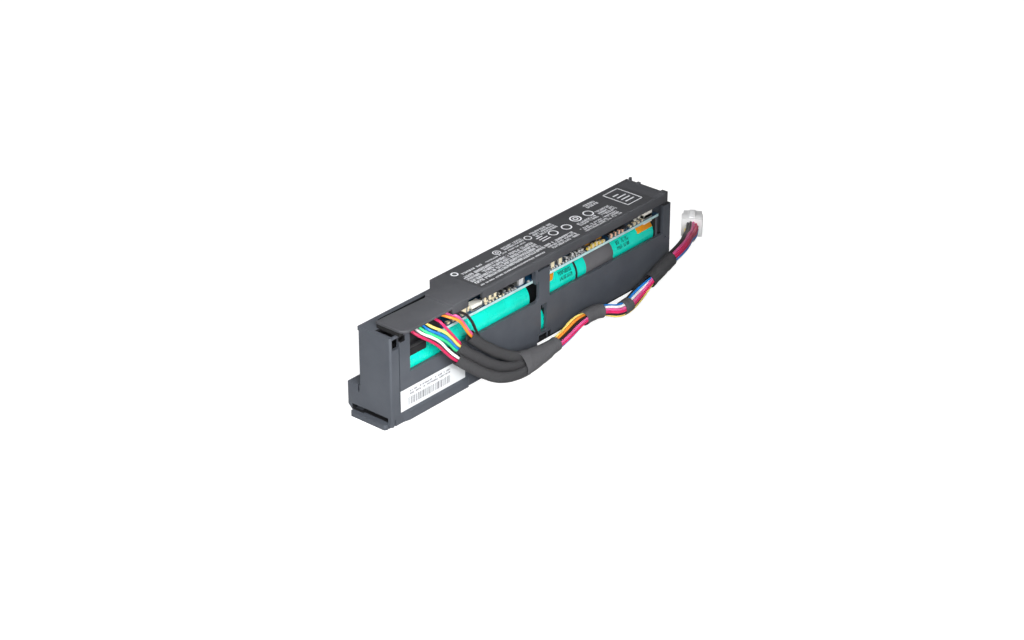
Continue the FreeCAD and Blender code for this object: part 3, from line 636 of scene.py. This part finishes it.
# %% Soften a copy of a hard part
def cut_recess(piece, low, high):
    """Takes a box, given by two drawing corners, out of a moulded part."""
    tool = box_between("tool", place(*low), place(*high))
    bpy.context.view_layer.objects.active = piece
    cut = piece.modifiers.new("recess", "BOOLEAN")
    cut.operation = "DIFFERENCE"
    cut.solver = "EXACT"
    cut.object = tool
    bpy.ops.object.modifier_apply(modifier=cut.name)
    bpy.data.objects.remove(tool)


def softened(node, name, width, material, segments=2, recesses=()):
    """A merged and bevelled copy of a hard part, which takes the part's place."""
    piece = bpy.data.objects.new(name, nodes[node].data.copy())
    bpy.context.collection.objects.link(piece)
    dress(piece, material)
    edit_all(piece)
    bpy.ops.mesh.remove_doubles(threshold=0.000005)
    bpy.ops.mesh.dissolve_limited(angle_limit=math.radians(1.0))
    bpy.ops.object.mode_set(mode="OBJECT")
    for low, high in recesses:
        cut_recess(piece, low, high)
    round_edges(piece, width * MM, segments)
    bpy.ops.object.shade_smooth_by_angle(angle=math.radians(40))
    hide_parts(node)
    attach(piece, ROOT)
    return piece


# %% [markdown]
# Three gaps in the tray look black in the photograph: under the tongue, over the
# base lip and beside the corner notch. They are cut here, and the faces inside the
# tray and in the gaps get a darker colour, a painted shade, as little light comes in there.

# %% Tray, cover, connector, header and plug
DECK_TOP = 54.6
TRAY_RECESSES = [((2.2, 1.2, DECK_TOP - 3.4), (6.4, 12.6, DECK_TOP + 0.4)),
                 ((-0.6, 2.8, 3.1), (3.6, 28.6, 6.4)),
                 ((7.5, -0.6, DECK_TOP - 5.1), (11.2, 3.0, DECK_TOP - 1.8))]
TRAY_INSIDE = ((1.9, 1.9, 3.2), (235.6, 21.3, 54.0))
SKIN = 0.05


def lies_in(point, low, high):
    """True for a point of the scene inside a box given by two drawing corners."""
    low, high = place(*low), place(*high)
    margin = SKIN * MM
    return all(a - margin < value < b + margin for value, a, b in zip(point, low, high))


def is_shaded(point):
    """Inside the tray or a recess, and not on the tray's near, front or top skin."""
    near_front, top = place(SKIN, SKIN, 0.0), place(0.0, 0.0, DECK_TOP - 2 * SKIN).z
    if point.x <= near_front.x or point.y <= near_front.y or point.z >= top:
        return False
    return any(lies_in(point, low, high) for low, high in (TRAY_INSIDE, *TRAY_RECESSES))


tray = softened("case_tray", "tray_shell", 0.25, tray_plastic,
                recesses=TRAY_RECESSES)
# painted shade: a darker colour for the faces inside the tray and in the recesses
painted_shade_plastic = finish("inner plastic with painted shade", srgb(27, 28, 31), srgb(21, 22, 25), roughness=0.6)
tray.data.materials.append(painted_shade_plastic)
for face in tray.data.polygons:
    face.material_index = int(is_shaded(face.center))
cover = softened("top_cover", "cover_shell", 0.3, cover_plastic)
clear_nylon = finish("clear nylon", srgb(250, 250, 250), srgb(242, 243, 245), roughness=0.35)
connector = softened("connector_housing", "end_connector", 0.25, clear_nylon)
# The header's and plug's colour can't be seen; they are black resin so that they match the shade
# under the tongue, a painted shade.
softened("board_header", "header_shell", 0.2, black_resin)
softened("harness_plug", "plug_shell", 0.2, black_resin)
print("tray faces:", len(tray.data.polygons), "cover faces:", len(cover.data.polygons))

# %% [markdown]
# A wrapped cell is a cylinder whose shrunk film rolls over its shoulders. It is
# modelled once, standing along X, and copied for the eight places.

# %% Cells
CELL_NODES = [f"cell_{number}" for number in range(1, 9)]
CAP_STEPS = ((0.0011, 0.0), (0.0006, -0.0009), (0.0030, 0.0), (0.0006, 0.0008))
BASE_STEPS = ((0.0011, 0.0), (0.0005, -0.0004))


def wrapped_cell():
    """One cell at the origin. Each step insets its end faces and then moves them."""
    low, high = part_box("cell_1")
    radius = (high.z - low.z) / 2
    length = high.x - low.x
    deselect()
    bpy.ops.mesh.primitive_cylinder_add(vertices=72, radius=radius, depth=length,
                                        rotation=(0, math.radians(90), 0))
    piece = bpy.context.object
    bpy.ops.object.transform_apply(location=False, rotation=True, scale=False)
    bpy.ops.object.mode_set(mode="EDIT")
    for sign, steps in ((1, CAP_STEPS), (-1, BASE_STEPS)):
        bpy.ops.mesh.select_all(action="DESELECT")
        select_faces(piece, lambda face: face.normal.x * sign > 0.9
                     and abs(face.center.x) > length * 0.4)
        for inset, move in steps:
            bpy.ops.mesh.inset(thickness=inset, depth=0.0)
            if move:
                bpy.ops.transform.translate(value=(sign * move, 0, 0))
    bpy.ops.object.mode_set(mode="OBJECT")
    round_edges(piece, 0.0006, 3, 40)
    bpy.ops.object.shade_smooth_by_angle(angle=math.radians(35))
    return piece


first_cell = wrapped_cell()
cells = []
for node in CELL_NODES:
    low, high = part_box(node)
    piece = bpy.data.objects.new(node.replace("cell", "wrapped_cell"), first_cell.data.copy())
    bpy.context.collection.objects.link(piece)
    for vertex in piece.data.vertices:
        vertex.co += (low + high) / 2
    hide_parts(node)
    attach(piece, ROOT)
    cells.append(piece)
bpy.data.objects.remove(first_cell)
print("cells:", len(cells))

# %% [markdown]
# The film on the cells is a glossy teal. Print, on the cells and on the labels, is
# rows of tiny letter-like cells with no meaning: a random value for each cell says
# where a word ends, and a finer one which strokes of the cell are inked.

# %% Group: print rows
print_group, start, end = new_group(
    "print rows",
    [("Place", VECTOR, None), ("Left", FLOAT, 0.0), ("Right", FLOAT, 10.0), ("Low", FLOAT, 0.0),
     ("High", FLOAT, 10.0), ("Row pitch", FLOAT, 1.2), ("Row fill", FLOAT, 0.62),
     ("Letter", FLOAT, 0.9), ("Spaces", FLOAT, 0.16), ("Seed", FLOAT, 0.0)],
    [("Mask", FLOAT)])


def calc(operation, *values):
    return math_node(print_group, operation, *values)


def random_cell(x, y):
    cell = add_node(print_group, "ShaderNodeCombineXYZ", links={
        "X": calc("FLOOR", x), "Y": calc("FLOOR", y), "Z": start.outputs["Seed"]})
    noise = add_node(print_group, "ShaderNodeTexWhiteNoise",
                     links={"Vector": cell.outputs["Vector"]})
    return noise.outputs["Value"]


LETTER_WIDTH = 0.78
STROKES_PER_LETTER = 3.0
INK_GAPS = 0.22
axes = add_node(print_group, "ShaderNodeSeparateXYZ", links={"Vector": start.outputs["Place"]})
across, height = axes.outputs["X"], axes.outputs["Y"]
rows = calc("DIVIDE", calc("SUBTRACT", height, start.outputs["Low"]), start.outputs["Row pitch"])
letters = calc("DIVIDE", across, start.outputs["Letter"])
mask = calc("GREATER_THAN", across, start.outputs["Left"])
for condition in (
    calc("LESS_THAN", across, start.outputs["Right"]),
    calc("GREATER_THAN", height, start.outputs["Low"]),
    calc("LESS_THAN", height, start.outputs["High"]),
    calc("LESS_THAN", calc("FRACT", rows), start.outputs["Row fill"]),
    calc("GREATER_THAN", random_cell(letters, rows), start.outputs["Spaces"]),
    calc("LESS_THAN", calc("FRACT", letters), LETTER_WIDTH),
    calc("GREATER_THAN", random_cell(calc("MULTIPLY", letters, STROKES_PER_LETTER),
                                     calc("MULTIPLY", rows, STROKES_PER_LETTER)), INK_GAPS),
):
    mask = calc("MULTIPLY", mask, condition)
print_group.links.new(mask, end.inputs["Mask"])


def drawing_place(tree, axes_order="XY"):
    """Object coordinates as drawing millimetres, with the two print axes first."""
    where = add_node(tree, "ShaderNodeTexCoord")
    scaled = add_node(tree, "ShaderNodeVectorMath", {1: (1 / MM,) * 3},
                      {0: where.outputs["Object"]}, operation="MULTIPLY")
    moved = add_node(tree, "ShaderNodeVectorMath", {1: tuple(DRAWING_CENTRE)},
                     {0: scaled.outputs[0]}, operation="ADD")
    parts = add_node(tree, "ShaderNodeSeparateXYZ", links={"Vector": moved.outputs[0]})
    joined = add_node(tree, "ShaderNodeCombineXYZ", links={
        "X": parts.outputs[axes_order[0]], "Y": parts.outputs[axes_order[1]]})
    return joined.outputs["Vector"]


def add_print(material, ink, blocks, axes_order="XY"):
    """Lays rows of meaningless print over a finish: each block is one rectangle of rows."""
    tree = material.node_tree
    shader = tree.nodes["Principled BSDF"]
    place_socket = drawing_place(tree, axes_order)
    total = None
    for block in blocks:
        node = add_node(tree, "ShaderNodeGroup", block, {"Place": place_socket},
                        node_tree=print_group)
        mask = node.outputs["Mask"]
        total = mask if total is None else math_node(tree, "MAXIMUM", total, mask)
    below = shader.inputs["Base Color"].links[0].from_socket
    mix = add_node(tree, "ShaderNodeMix", links={"Factor": total, 6: below}, data_type="RGBA")
    mix.inputs[7].default_value = ink
    tree.links.new(mix.outputs[2], shader.inputs["Base Color"])


def rows_block(left, right, low, high, pitch, fill=0.62, letter=0.9, spaces=0.16):
    return {"Left": left, "Right": right, "Low": low, "High": high, "Row pitch": pitch,
            "Row fill": fill, "Letter": letter, "Spaces": spaces, "Seed": left}


# %% [markdown]
# Two cells show their print in the right window, so they get the printed film. The
# rows lie in the drawing's X and Z, because the print faces the front.

# %% Film of the cells
cell_film = finish("cell film", srgb(8, 222, 200), srgb(4, 206, 182), patch=60.0, scale=500.0,
                   roughness=0.26, height=0.000015, coat=0.3)
printed_film = cell_film.copy()
printed_film.name = "printed cell film"
add_print(printed_film, srgb(8, 104, 92),
          [rows_block(141.0, 152.0, 33.0, 38.6, 2.8, 0.75, 1.0, 0.12),
           rows_block(192.0, 203.0, 33.0, 38.6, 2.8, 0.75, 1.0, 0.12)], "XZ")
for piece in cells:
    printed = piece.name in ("wrapped_cell_5", "wrapped_cell_6")
    dress(piece, printed_film if printed else cell_film)

# %% [markdown]
# The wrap over the joint, the thin ring and the amber insulation keep their solids,
# with softened edges, and the nickel strips only get their metal. One pad's right
# edge is slanted, and two black blocks fill two places that are black in the photograph, as painted
# shade.

# %% Wraps, tapes and strips
PAD_REACH, PAD_SLANT = 0.0035, 0.0075
SHADE_PAD_HEIGHT = 2.5
softened("cell_sleeve", "joint_wrap", 0.1, black_wrap)
softened("cell_ring", "thin_ring", 0.1, black_resin)
amber_pad = softened("tape_pad_1", "amber_pad_1", 0.1, amber_film)
pad_low, pad_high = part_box("tape_pad_1")
for vertex in amber_pad.data.vertices:
    if vertex.co.x > (pad_low.x + pad_high.x) / 2:
        share_down = (pad_high.z - vertex.co.z) / (pad_high.z - pad_low.z)
        vertex.co.x += PAD_REACH - PAD_SLANT * share_down
softened("tape_pad_2", "amber_pad_2", 0.1, amber_film)
# black blocks under the board's near end and under the tongue's end: painted shade where there is
# only shade
painted_shade_black = finish("black painted shade", srgb(22, 22, 24), srgb(14, 14, 16), scale=1400.0, roughness=0.9,
              height=0.00006)
for name, low, high in (
    ("shade_strip", place(15.2, 1.1, 37.6), place(29.0, 2.1, 41.9)),
    ("shade_pad", place(4.9, -2.2, DECK_TOP), place(8.0, 14.2, DECK_TOP + SHADE_PAD_HEIGHT)),
):
    piece = box_between(name, low, high, painted_shade_black)
    round_edges(piece, 0.0003, 3, 30)
    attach(piece, ROOT)
for name, node in nodes.items():
    if name.startswith("cell_link") or name.endswith("strap"):
        dress(node, nickel)

# %% [markdown]
# The board shows its pale cut edge. Its faces have a dark blue-green lacquer, and
# its sawn edge the glass cloth, so the two are told apart by where a face points.
# Its near end lies in shade under the tongue and is painted black, as painted shade.

# %% Circuit board
painted_shade_end = place(28.0, 0, 0)
lacquer = finish("board lacquer", srgb(20, 72, 104), srgb(16, 58, 90), patch=90.0,
                 roughness=0.3, coat=0.3)
cut_edge = finish("board cut edge", srgb(196, 222, 222), srgb(170, 206, 208), patch=300.0,
                  roughness=0.45)
board = softened("circuit_board", "board_plate", 0.12, lacquer)
board.data.materials.append(cut_edge)
board.data.materials.append(black_resin)
edit_all(board)
bpy.ops.mesh.bisect(plane_co=painted_shade_end, plane_no=(1, 0, 0))
bpy.ops.object.mode_set(mode="OBJECT")
for face in board.data.polygons:
    # the faces of the near end get black resin: painted shade
    if face.center.x < painted_shade_end.x:
        face.material_index = 2
    elif abs(face.normal.z) < 0.5:
        face.material_index = 1

# %% [markdown]
# What stands on the board is small but shows in both windows. Each kind is made
# from a cube or cylinder at the size of its solid, then cut, inset and bevelled.

# %% Board parts
PIN_PITCH, PIN_WIDTH = 0.0022, 0.0005
LEG_PITCH, LEG_WIDTH, LEG_REACH = 0.00127, 0.0004, 0.0008
CAP_SHARE = 0.2


def start_box(node, name, *materials):
    """A box as large as a solid of the frame, with the solid's two corners."""
    low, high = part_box(node)
    return box_between(name, low, high, *materials), low, high


def close_piece(piece, node, width=0.00015):
    """Object mode, a fine bevel, smooth shading, and its place in the frame."""
    bpy.ops.object.mode_set(mode="OBJECT")
    round_edges(piece, width)
    bpy.ops.object.shade_smooth_by_angle(angle=math.radians(40))
    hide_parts(node)
    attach(piece, ROOT)
    return piece


def spread_over(low, high, count):
    """The middles of equal parts of a solid's length."""
    return [low.x + (high.x - low.x) * (number + 0.5) / count for number in range(count)]


def end_capped(node, name, body, caps):
    """A chip capacitor or block: two metal ends on a ceramic body."""
    piece, low, high = start_box(node, name, body, caps)
    edge = (high.x - low.x) * CAP_SHARE
    bpy.ops.object.mode_set(mode="EDIT")
    for cut in (low.x + edge, high.x - edge):
        bpy.ops.mesh.select_all(action="SELECT")
        bpy.ops.mesh.bisect(plane_co=(cut, low.y, low.z), plane_no=(1, 0, 0))
    bpy.ops.object.mode_set(mode="OBJECT")
    for face in piece.data.polygons:
        if face.center.x < low.x + edge or face.center.x > high.x - edge:
            face.material_index = 1
    return close_piece(piece, node, 0.0002)


def open_socket(node, name, body):
    """A socket with a pocket in its top, and a row of pins in the pocket."""
    piece, low, high = start_box(node, name, body, solder)
    tall = high.z - low.z
    select_faces(piece, lambda face: face.normal.z > 0.9)
    bpy.ops.mesh.inset(thickness=0.0008, depth=0.0)
    bpy.ops.mesh.extrude_region_move(TRANSFORM_OT_translate={"value": (0, 0, -0.6 * tall)})
    close_piece(piece, node)
    size = (PIN_WIDTH, PIN_WIDTH, tall * 0.8)
    middle = (low + high) / 2
    pins = [add_box("pin", (x, middle.y, middle.z), size, solder)
            for x in spread_over(low, high, max(2, int((high.x - low.x) / PIN_PITCH)))]
    return join_all([piece, *pins], name)


def leaded_chip(node, name):
    """A chip with short legs along both long sides."""
    piece, low, high = start_box(node, name, black_resin, solder)
    close_piece(piece, node, 0.0003)
    legs = [add_box("leg", (x, y, low.z + LEG_REACH / 2), (LEG_WIDTH, LEG_REACH, LEG_REACH), solder)
            for x in spread_over(low, high, int((high.x - low.x) / LEG_PITCH))
            for y in (low.y - 0.0003, high.y + 0.0003)]
    return join_all([piece, *legs], name)


def wound_coil(node, name, turns=6):
    """A ferrite drum on a square base with turns of gold wire between its flanges."""
    piece, low, high = start_box(node, name, ferrite, gold_wire)
    middle = (low + high) / 2
    radius = (high.x - low.x) / 2
    for vertex in piece.data.vertices:
        if vertex.co.z > middle.z:
            vertex.co.z = low.z + 0.001
    parts = [piece]
    for centre, depth, size in ((low.z + 0.0014, 0.0008, 0.97), (high.z - 0.0004, 0.0008, 0.97),
                                (middle.z, high.z - low.z - 0.001, 0.6)):
        deselect()
        bpy.ops.mesh.primitive_cylinder_add(vertices=40, radius=radius * size, depth=depth,
                                            location=(middle.x, middle.y, centre))
        bpy.context.object.data.materials.append(ferrite)
        parts.append(bpy.context.object)
    for number in range(turns):
        z = low.z + 0.0020 + (high.z - low.z - 0.0031) * (number + 0.5) / turns
        deselect()
        bpy.ops.mesh.primitive_torus_add(major_radius=radius * 0.78, minor_radius=0.0002,
                                         major_segments=40, minor_segments=8,
                                         location=(middle.x, middle.y, z))
        bpy.context.object.data.materials.append(gold_wire)
        parts.append(bpy.context.object)
    return close_piece(join_all(parts, name), node, 0.0001)


end_capped("capacitor_1", "chip_capacitor_1", cream_ceramic, solder)
end_capped("capacitor_2", "chip_capacitor_2", cream_ceramic, solder)
end_capped("fuse_block", "fuse_body", cream_ceramic, solder)
end_capped("shunt_block", "shunt_body", pale_resin, solder)
open_socket("sense_socket", "sense_socket_body", white_nylon)
open_socket("service_socket", "service_socket_body", white_nylon)
for node in ("controller_chip", "switch_chip_1", "switch_chip_2"):
    leaded_chip(node, node.replace("chip", "package"))
for number in (1, 2):
    wound_coil(f"coil_{number}", f"wound_coil_{number}")

# %% [markdown]
# Along its front edge the board is crowded with small chips. Each is a ceramic body
# with two metal ends: one is modelled, and copies of it are scaled to a seeded
# random size and set one after the other wherever the larger parts leave room.

# %% Small chips along the front edge
random.seed(11)
BOARD_NODES = ("fuse_block", "sense_socket", "shunt_block", "capacitor_1", "capacitor_2",
               "controller_chip", "coil_1", "coil_2", "switch_chip_1", "switch_chip_2",
               "service_socket")
UNIT_CAP_SHARE = 0.22
taken = [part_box(node) for node in BOARD_NODES]
board_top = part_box("circuit_board")[1].z / MM


def unit_chip(name, body, ends):
    """A chip one metre long, to be scaled: bevelled, with its ends in metal."""
    chip = add_box(name, (0.5, 0.5, 0.5), (1, 1, 1), body, ends)
    bpy.ops.object.mode_set(mode="EDIT")
    for share in (UNIT_CAP_SHARE, 1 - UNIT_CAP_SHARE):
        bpy.ops.mesh.select_all(action="SELECT")
        bpy.ops.mesh.bisect(plane_co=(share, 0, 0), plane_no=(1, 0, 0))
    bpy.ops.object.mode_set(mode="OBJECT")
    for face in chip.data.polygons:
        face.material_index = int(not UNIT_CAP_SHARE < face.center.x < 1 - UNIT_CAP_SHARE)
    round_edges(chip, 0.06, 1, 30)
    return chip


def is_free(low, high):
    return all(high.x < a.x or low.x > b.x or high.y < a.y or low.y > b.y for a, b in taken)


def chip_row(name, start_x, end_x, y, lengths, depth, height, gap, body, ends=None):
    """Chips set one after the other from start_x to end_x, in drawing millimetres."""
    master = unit_chip(name, body, ends or solder)
    made = []
    x = start_x
    while x < end_x:
        length = random.uniform(*lengths)
        tall = random.uniform(*height)
        low = place(x, y, board_top)
        high = place(x + length, y + depth, board_top + tall)
        x += length + random.uniform(*gap)
        if not is_free(low, high):
            continue
        chip = bpy.data.objects.new(name, master.data.copy())
        bpy.context.collection.objects.link(chip)
        for vertex in chip.data.vertices:
            vertex.co = low + Vector([share * side for share, side in zip(vertex.co, high - low)])
        made.append(chip)
        taken.append((low, high))
    bpy.data.objects.remove(master)
    row = join_all(made, name)
    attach(row, ROOT)
    return len(made)


chip_count = 0
for row in (
    ("cream_chips_1", 46.0, 63.0, 2.0, (2.6, 4.0), 1.8, (0.9, 1.6), (0.3, 0.9), cream_ceramic),
    ("cream_chips_2", 64.0, 86.0, 3.6, (2.4, 4.4), 2.6, (2.0, 3.4), (0.3, 0.8), cream_ceramic),
    ("cream_chips_3", 76.0, 93.0, 1.4, (1.6, 2.6), 1.0, (0.5, 0.9), (0.4, 1.0), cream_ceramic),
    ("dark_chips_1", 84.0, 103.0, 3.0, (3.0, 5.0), 3.2, (1.2, 2.2), (0.5, 1.2), black_resin),
    ("silver_chips_1", 94.0, 114.0, 1.4, (1.4, 3.0), 1.1, (0.5, 1.0), (0.3, 0.7), pale_resin),
    ("silver_chips_2", 130.0, 162.0, 1.3, (1.2, 2.4), 1.0, (0.5, 1.2), (0.3, 0.8), pale_resin),
    ("silver_chips_3", 130.0, 162.0, 2.9, (1.4, 3.2), 2.0, (0.8, 2.2), (0.3, 0.8), pale_resin),
    ("gold_chips", 160.0, 179.0, 1.2, (1.4, 3.0), 1.3, (1.2, 2.6), (0.3, 0.9), cream_ceramic, gilt),
    ("peach_chips", 183.0, 196.0, 1.2, (1.8, 3.2), 1.3, (1.4, 2.6), (0.4, 1.2), peach_ceramic),
    ("cream_chips_4", 192.0, 216.0, 1.4, (1.6, 3.4), 2.2, (0.8, 2.2), (0.3, 0.9), cream_ceramic),
    ("white_chips_1", 208.0, 219.0, 3.8, (2.4, 3.8), 2.4, (1.4, 2.8), (0.4, 1.0), white_nylon),
):
    chip_count += chip_row(*row)
print("small chips:", chip_count)

dress(nodes["chip_resistors"], cream_ceramic)
print("board parts dressed")

# %% [markdown]
# The rating label is dark film with rows of tiny pale print. No word, name or
# mark is copied: the rows are noise cut into strokes, and the round and square
# marks of the original are plain rings and bars.

# %% Labels
label_film = finish("dark label film", srgb(66, 67, 70), srgb(59, 60, 63), roughness=0.55,
                    height=0.000008)
label_blocks = [
    rows_block(72.0, 88.0, 13.4, 15.0, 1.7, 0.9, 1.5, 0.05),
    rows_block(90.0, 124.0, 13.2, 14.6, 1.4, 0.9, 1.1, 0.12),
    rows_block(69.0, 126.0, 0.6, 12.2, 2.9, 0.8, 1.15, 0.06),
    rows_block(69.0, 122.0, -2.8, -1.4, 1.4, 0.9, 1.0, 0.12),
    rows_block(109.0, 126.0, 15.6, 19.4, 1.9, 0.76, 1.2, 0.08),
    rows_block(127.0, 151.0, -3.2, 3.4, 2.3, 0.76, 1.2, 0.08),
    rows_block(133.0, 151.0, 12.6, 19.4, 2.3, 0.76, 1.2, 0.1),
    rows_block(156.0, 188.0, -3.6, 1.8, 1.8, 0.76, 1.2, 0.1),
    rows_block(160.0, 176.0, 3.2, 7.4, 2.1, 0.8, 1.6, 0.05),
    rows_block(178.0, 191.0, 2.4, 9.6, 2.4, 0.8, 1.5, 0.08),
    rows_block(180.0, 190.0, 14.6, 19.8, 2.6, 0.8, 2.0, 0.05),
]
add_print(label_film, srgb(196, 198, 202), label_blocks)
softened("rating_label", "rating_film", 0.04, label_film, 1)

paper = finish("white paper", srgb(222, 224, 227), srgb(214, 217, 219), roughness=0.6,
               height=0.000008)
add_print(paper, srgb(120, 120, 126),
          [rows_block(14.0, 46.0, 16.0, 19.4, 1.7, 0.6, 1.1, 0.1)], "XZ")
softened("side_label", "side_paper", 0.04, paper, 1)

# %% [markdown]
# Stripes of unequal width stand where the small label had its code. They are thin
# printed bars whose widths and gaps are drawn from a seeded random row. Plain rings
# and bars take the places of the round and square marks on the dark label.

# %% Stripes and rings on the labels
random.seed(4)
STRIPES_START, STRIPES_END = 13.0, 46.0
STRIPE_LOW, STRIPE_HIGH = 10.2, 14.6
STRIPE_FRONT, STRIPE_BACK = -0.165, -0.148
LABEL_TOP = 60.0
INK_THICKNESS = 0.02
ink = finish("grey ink", srgb(96, 96, 102), srgb(84, 84, 90), roughness=0.6)
pale_ink = finish("pale ink", srgb(232, 234, 238), srgb(218, 220, 224), roughness=0.5)
stripes = []
x = STRIPES_START
while x < STRIPES_END:
    width = random.choice((0.25, 0.45, 0.7))
    stripes.append(box_between("stripe", place(x, STRIPE_FRONT, STRIPE_LOW),
                               place(x + width, STRIPE_BACK, STRIPE_HIGH), ink))
    x += width + random.choice((0.4, 0.6, 0.9))
stripes = join_all(stripes, "side_stripes")
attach(stripes, ROOT)


def flat_ring(x, y, outer, inner):
    """A thin printed ring: a flat disc whose middle is taken out."""
    deselect()
    bpy.ops.mesh.primitive_cylinder_add(
        vertices=48, radius=outer * MM, depth=INK_THICKNESS * MM, end_fill_type="NGON",
        location=place(x, y, LABEL_TOP + INK_THICKNESS / 2))
    ring = bpy.context.object
    bpy.ops.object.transform_apply(location=True, rotation=False, scale=False)
    bpy.ops.object.mode_set(mode="EDIT")
    bpy.ops.mesh.select_mode(type="FACE")
    select_faces(ring, lambda face: abs(face.normal.z) > 0.9)
    bpy.ops.mesh.inset(thickness=(outer - inner) * MM, depth=0.0)
    bpy.ops.mesh.bridge_edge_loops()
    bpy.ops.object.mode_set(mode="OBJECT")
    ring.data.materials.append(pale_ink)
    return ring


marks = []
for x, y, outer, inner in ((69.5, 17.2, 2.2, 1.4), (104.0, 17.0, 2.5, 2.0), (104.0, 17.0, 1.1, 0.6),
                           (129.0, 16.0, 2.4, 1.8), (143.0, 9.4, 3.0, 2.3), (153.5, 8.6, 3.2, 2.4),
                           (165.0, 11.6, 3.6, 2.7), (165.0, 11.6, 1.7, 1.0), (175.0, 10.6, 3.3, 2.5)):
    marks.append(flat_ring(x, y, outer, inner))
for x, y, width, depth in ((131.0, 6.8, 7.0, 0.7), (131.0, 9.0, 7.0, 0.7), (131.0, 11.2, 5.0, 0.7),
                           (198.0, 0.2, 13.6, 0.7), (198.0, 18.4, 13.6, 0.7), (198.0, 0.2, 0.7, 18.9),
                           (210.9, 0.2, 0.7, 18.9), (201.0, 4.0, 7.6, 1.0), (201.0, 7.0, 7.6, 1.0),
                           (201.0, 10.0, 7.6, 1.0), (201.0, 13.0, 4.6, 1.0)):
    marks.append(box_between("mark", place(x, y, LABEL_TOP),
                             place(x + width, y + depth, LABEL_TOP + INK_THICKNESS), pale_ink))
marks = join_all(marks, "label_marks")
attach(marks, ROOT)

# %% [markdown]

# %% [markdown]
# The floor is a wide pale plane. The camera sees it as plain white, but it still
# takes the module's shadow, because only part of its light is its own.

# %% Floor
FLOOR_TONE = 0.32
FLOOR_GLOW = 0.88
bpy.ops.mesh.primitive_plane_add(size=12.0, location=(0, 0, 0))
floor = bpy.context.object
floor.name = "floor"
white_floor = bpy.data.materials.new("white floor")
white_floor.use_nodes = True
tree = white_floor.node_tree
shader = tree.nodes["Principled BSDF"]
set_inputs(shader, {"Base Color": (FLOOR_TONE, FLOOR_TONE, FLOOR_TONE, 1), "Roughness": 0.7,
                    "Specular IOR Level": 0.1})
path = tree.nodes.new("ShaderNodeLightPath")
seen = math_node(tree, "MAXIMUM", path.outputs["Is Camera Ray"],
                 path.outputs["Is Transmission Ray"])
glow = add_node(tree, "ShaderNodeEmission", {"Color": (1, 1, 1, 1)})
tree.links.new(math_node(tree, "MULTIPLY", seen, FLOOR_GLOW), glow.inputs["Strength"])
both = tree.nodes.new("ShaderNodeAddShader")
tree.links.new(shader.outputs[0], both.inputs[0])
tree.links.new(glow.outputs[0], both.inputs[1])
tree.links.new(both.outputs[0], tree.nodes["Material Output"].inputs["Surface"])
floor.data.materials.append(white_floor)

# %% [markdown]
# Soft studio light: a dim even sky, a large key lamp above and to the left of the
# wire end, a small one low in front that lights the left of the front wall, and a
# wide one from above and behind for the cover.

# %% Lights
SKY_STRENGTH = 0.17
world = bpy.data.worlds.new("studio")
bpy.context.scene.world = world
world.use_nodes = True
sky = world.node_tree.nodes["Background"]
set_inputs(sky, {"Color": (1, 1, 1, 1), "Strength": SKY_STRENGTH})


def soft_lamp(name, location, size, power, aim=(0, 0, 0.02), spread=180):
    bpy.ops.object.light_add(type="AREA", location=location)
    lamp = bpy.context.object
    lamp.name = name
    lamp.data.size = size
    lamp.data.energy = power
    lamp.data.spread = math.radians(spread)
    lamp.rotation_euler = (Vector(aim) - Vector(location)).to_track_quat("-Z", "Y").to_euler()


soft_lamp("key", (-1.3, -0.14, 0.8), 0.7, 12)
soft_lamp("front", (-0.27, -0.34, 0.24), 0.24, 0.62, aim=(-0.075, 0.0, 0.03), spread=70)
soft_lamp("top", (-0.5, 0.6, 1.5), 1.2, 9.5)
bpy.context.scene.view_settings.view_transform = "Standard"
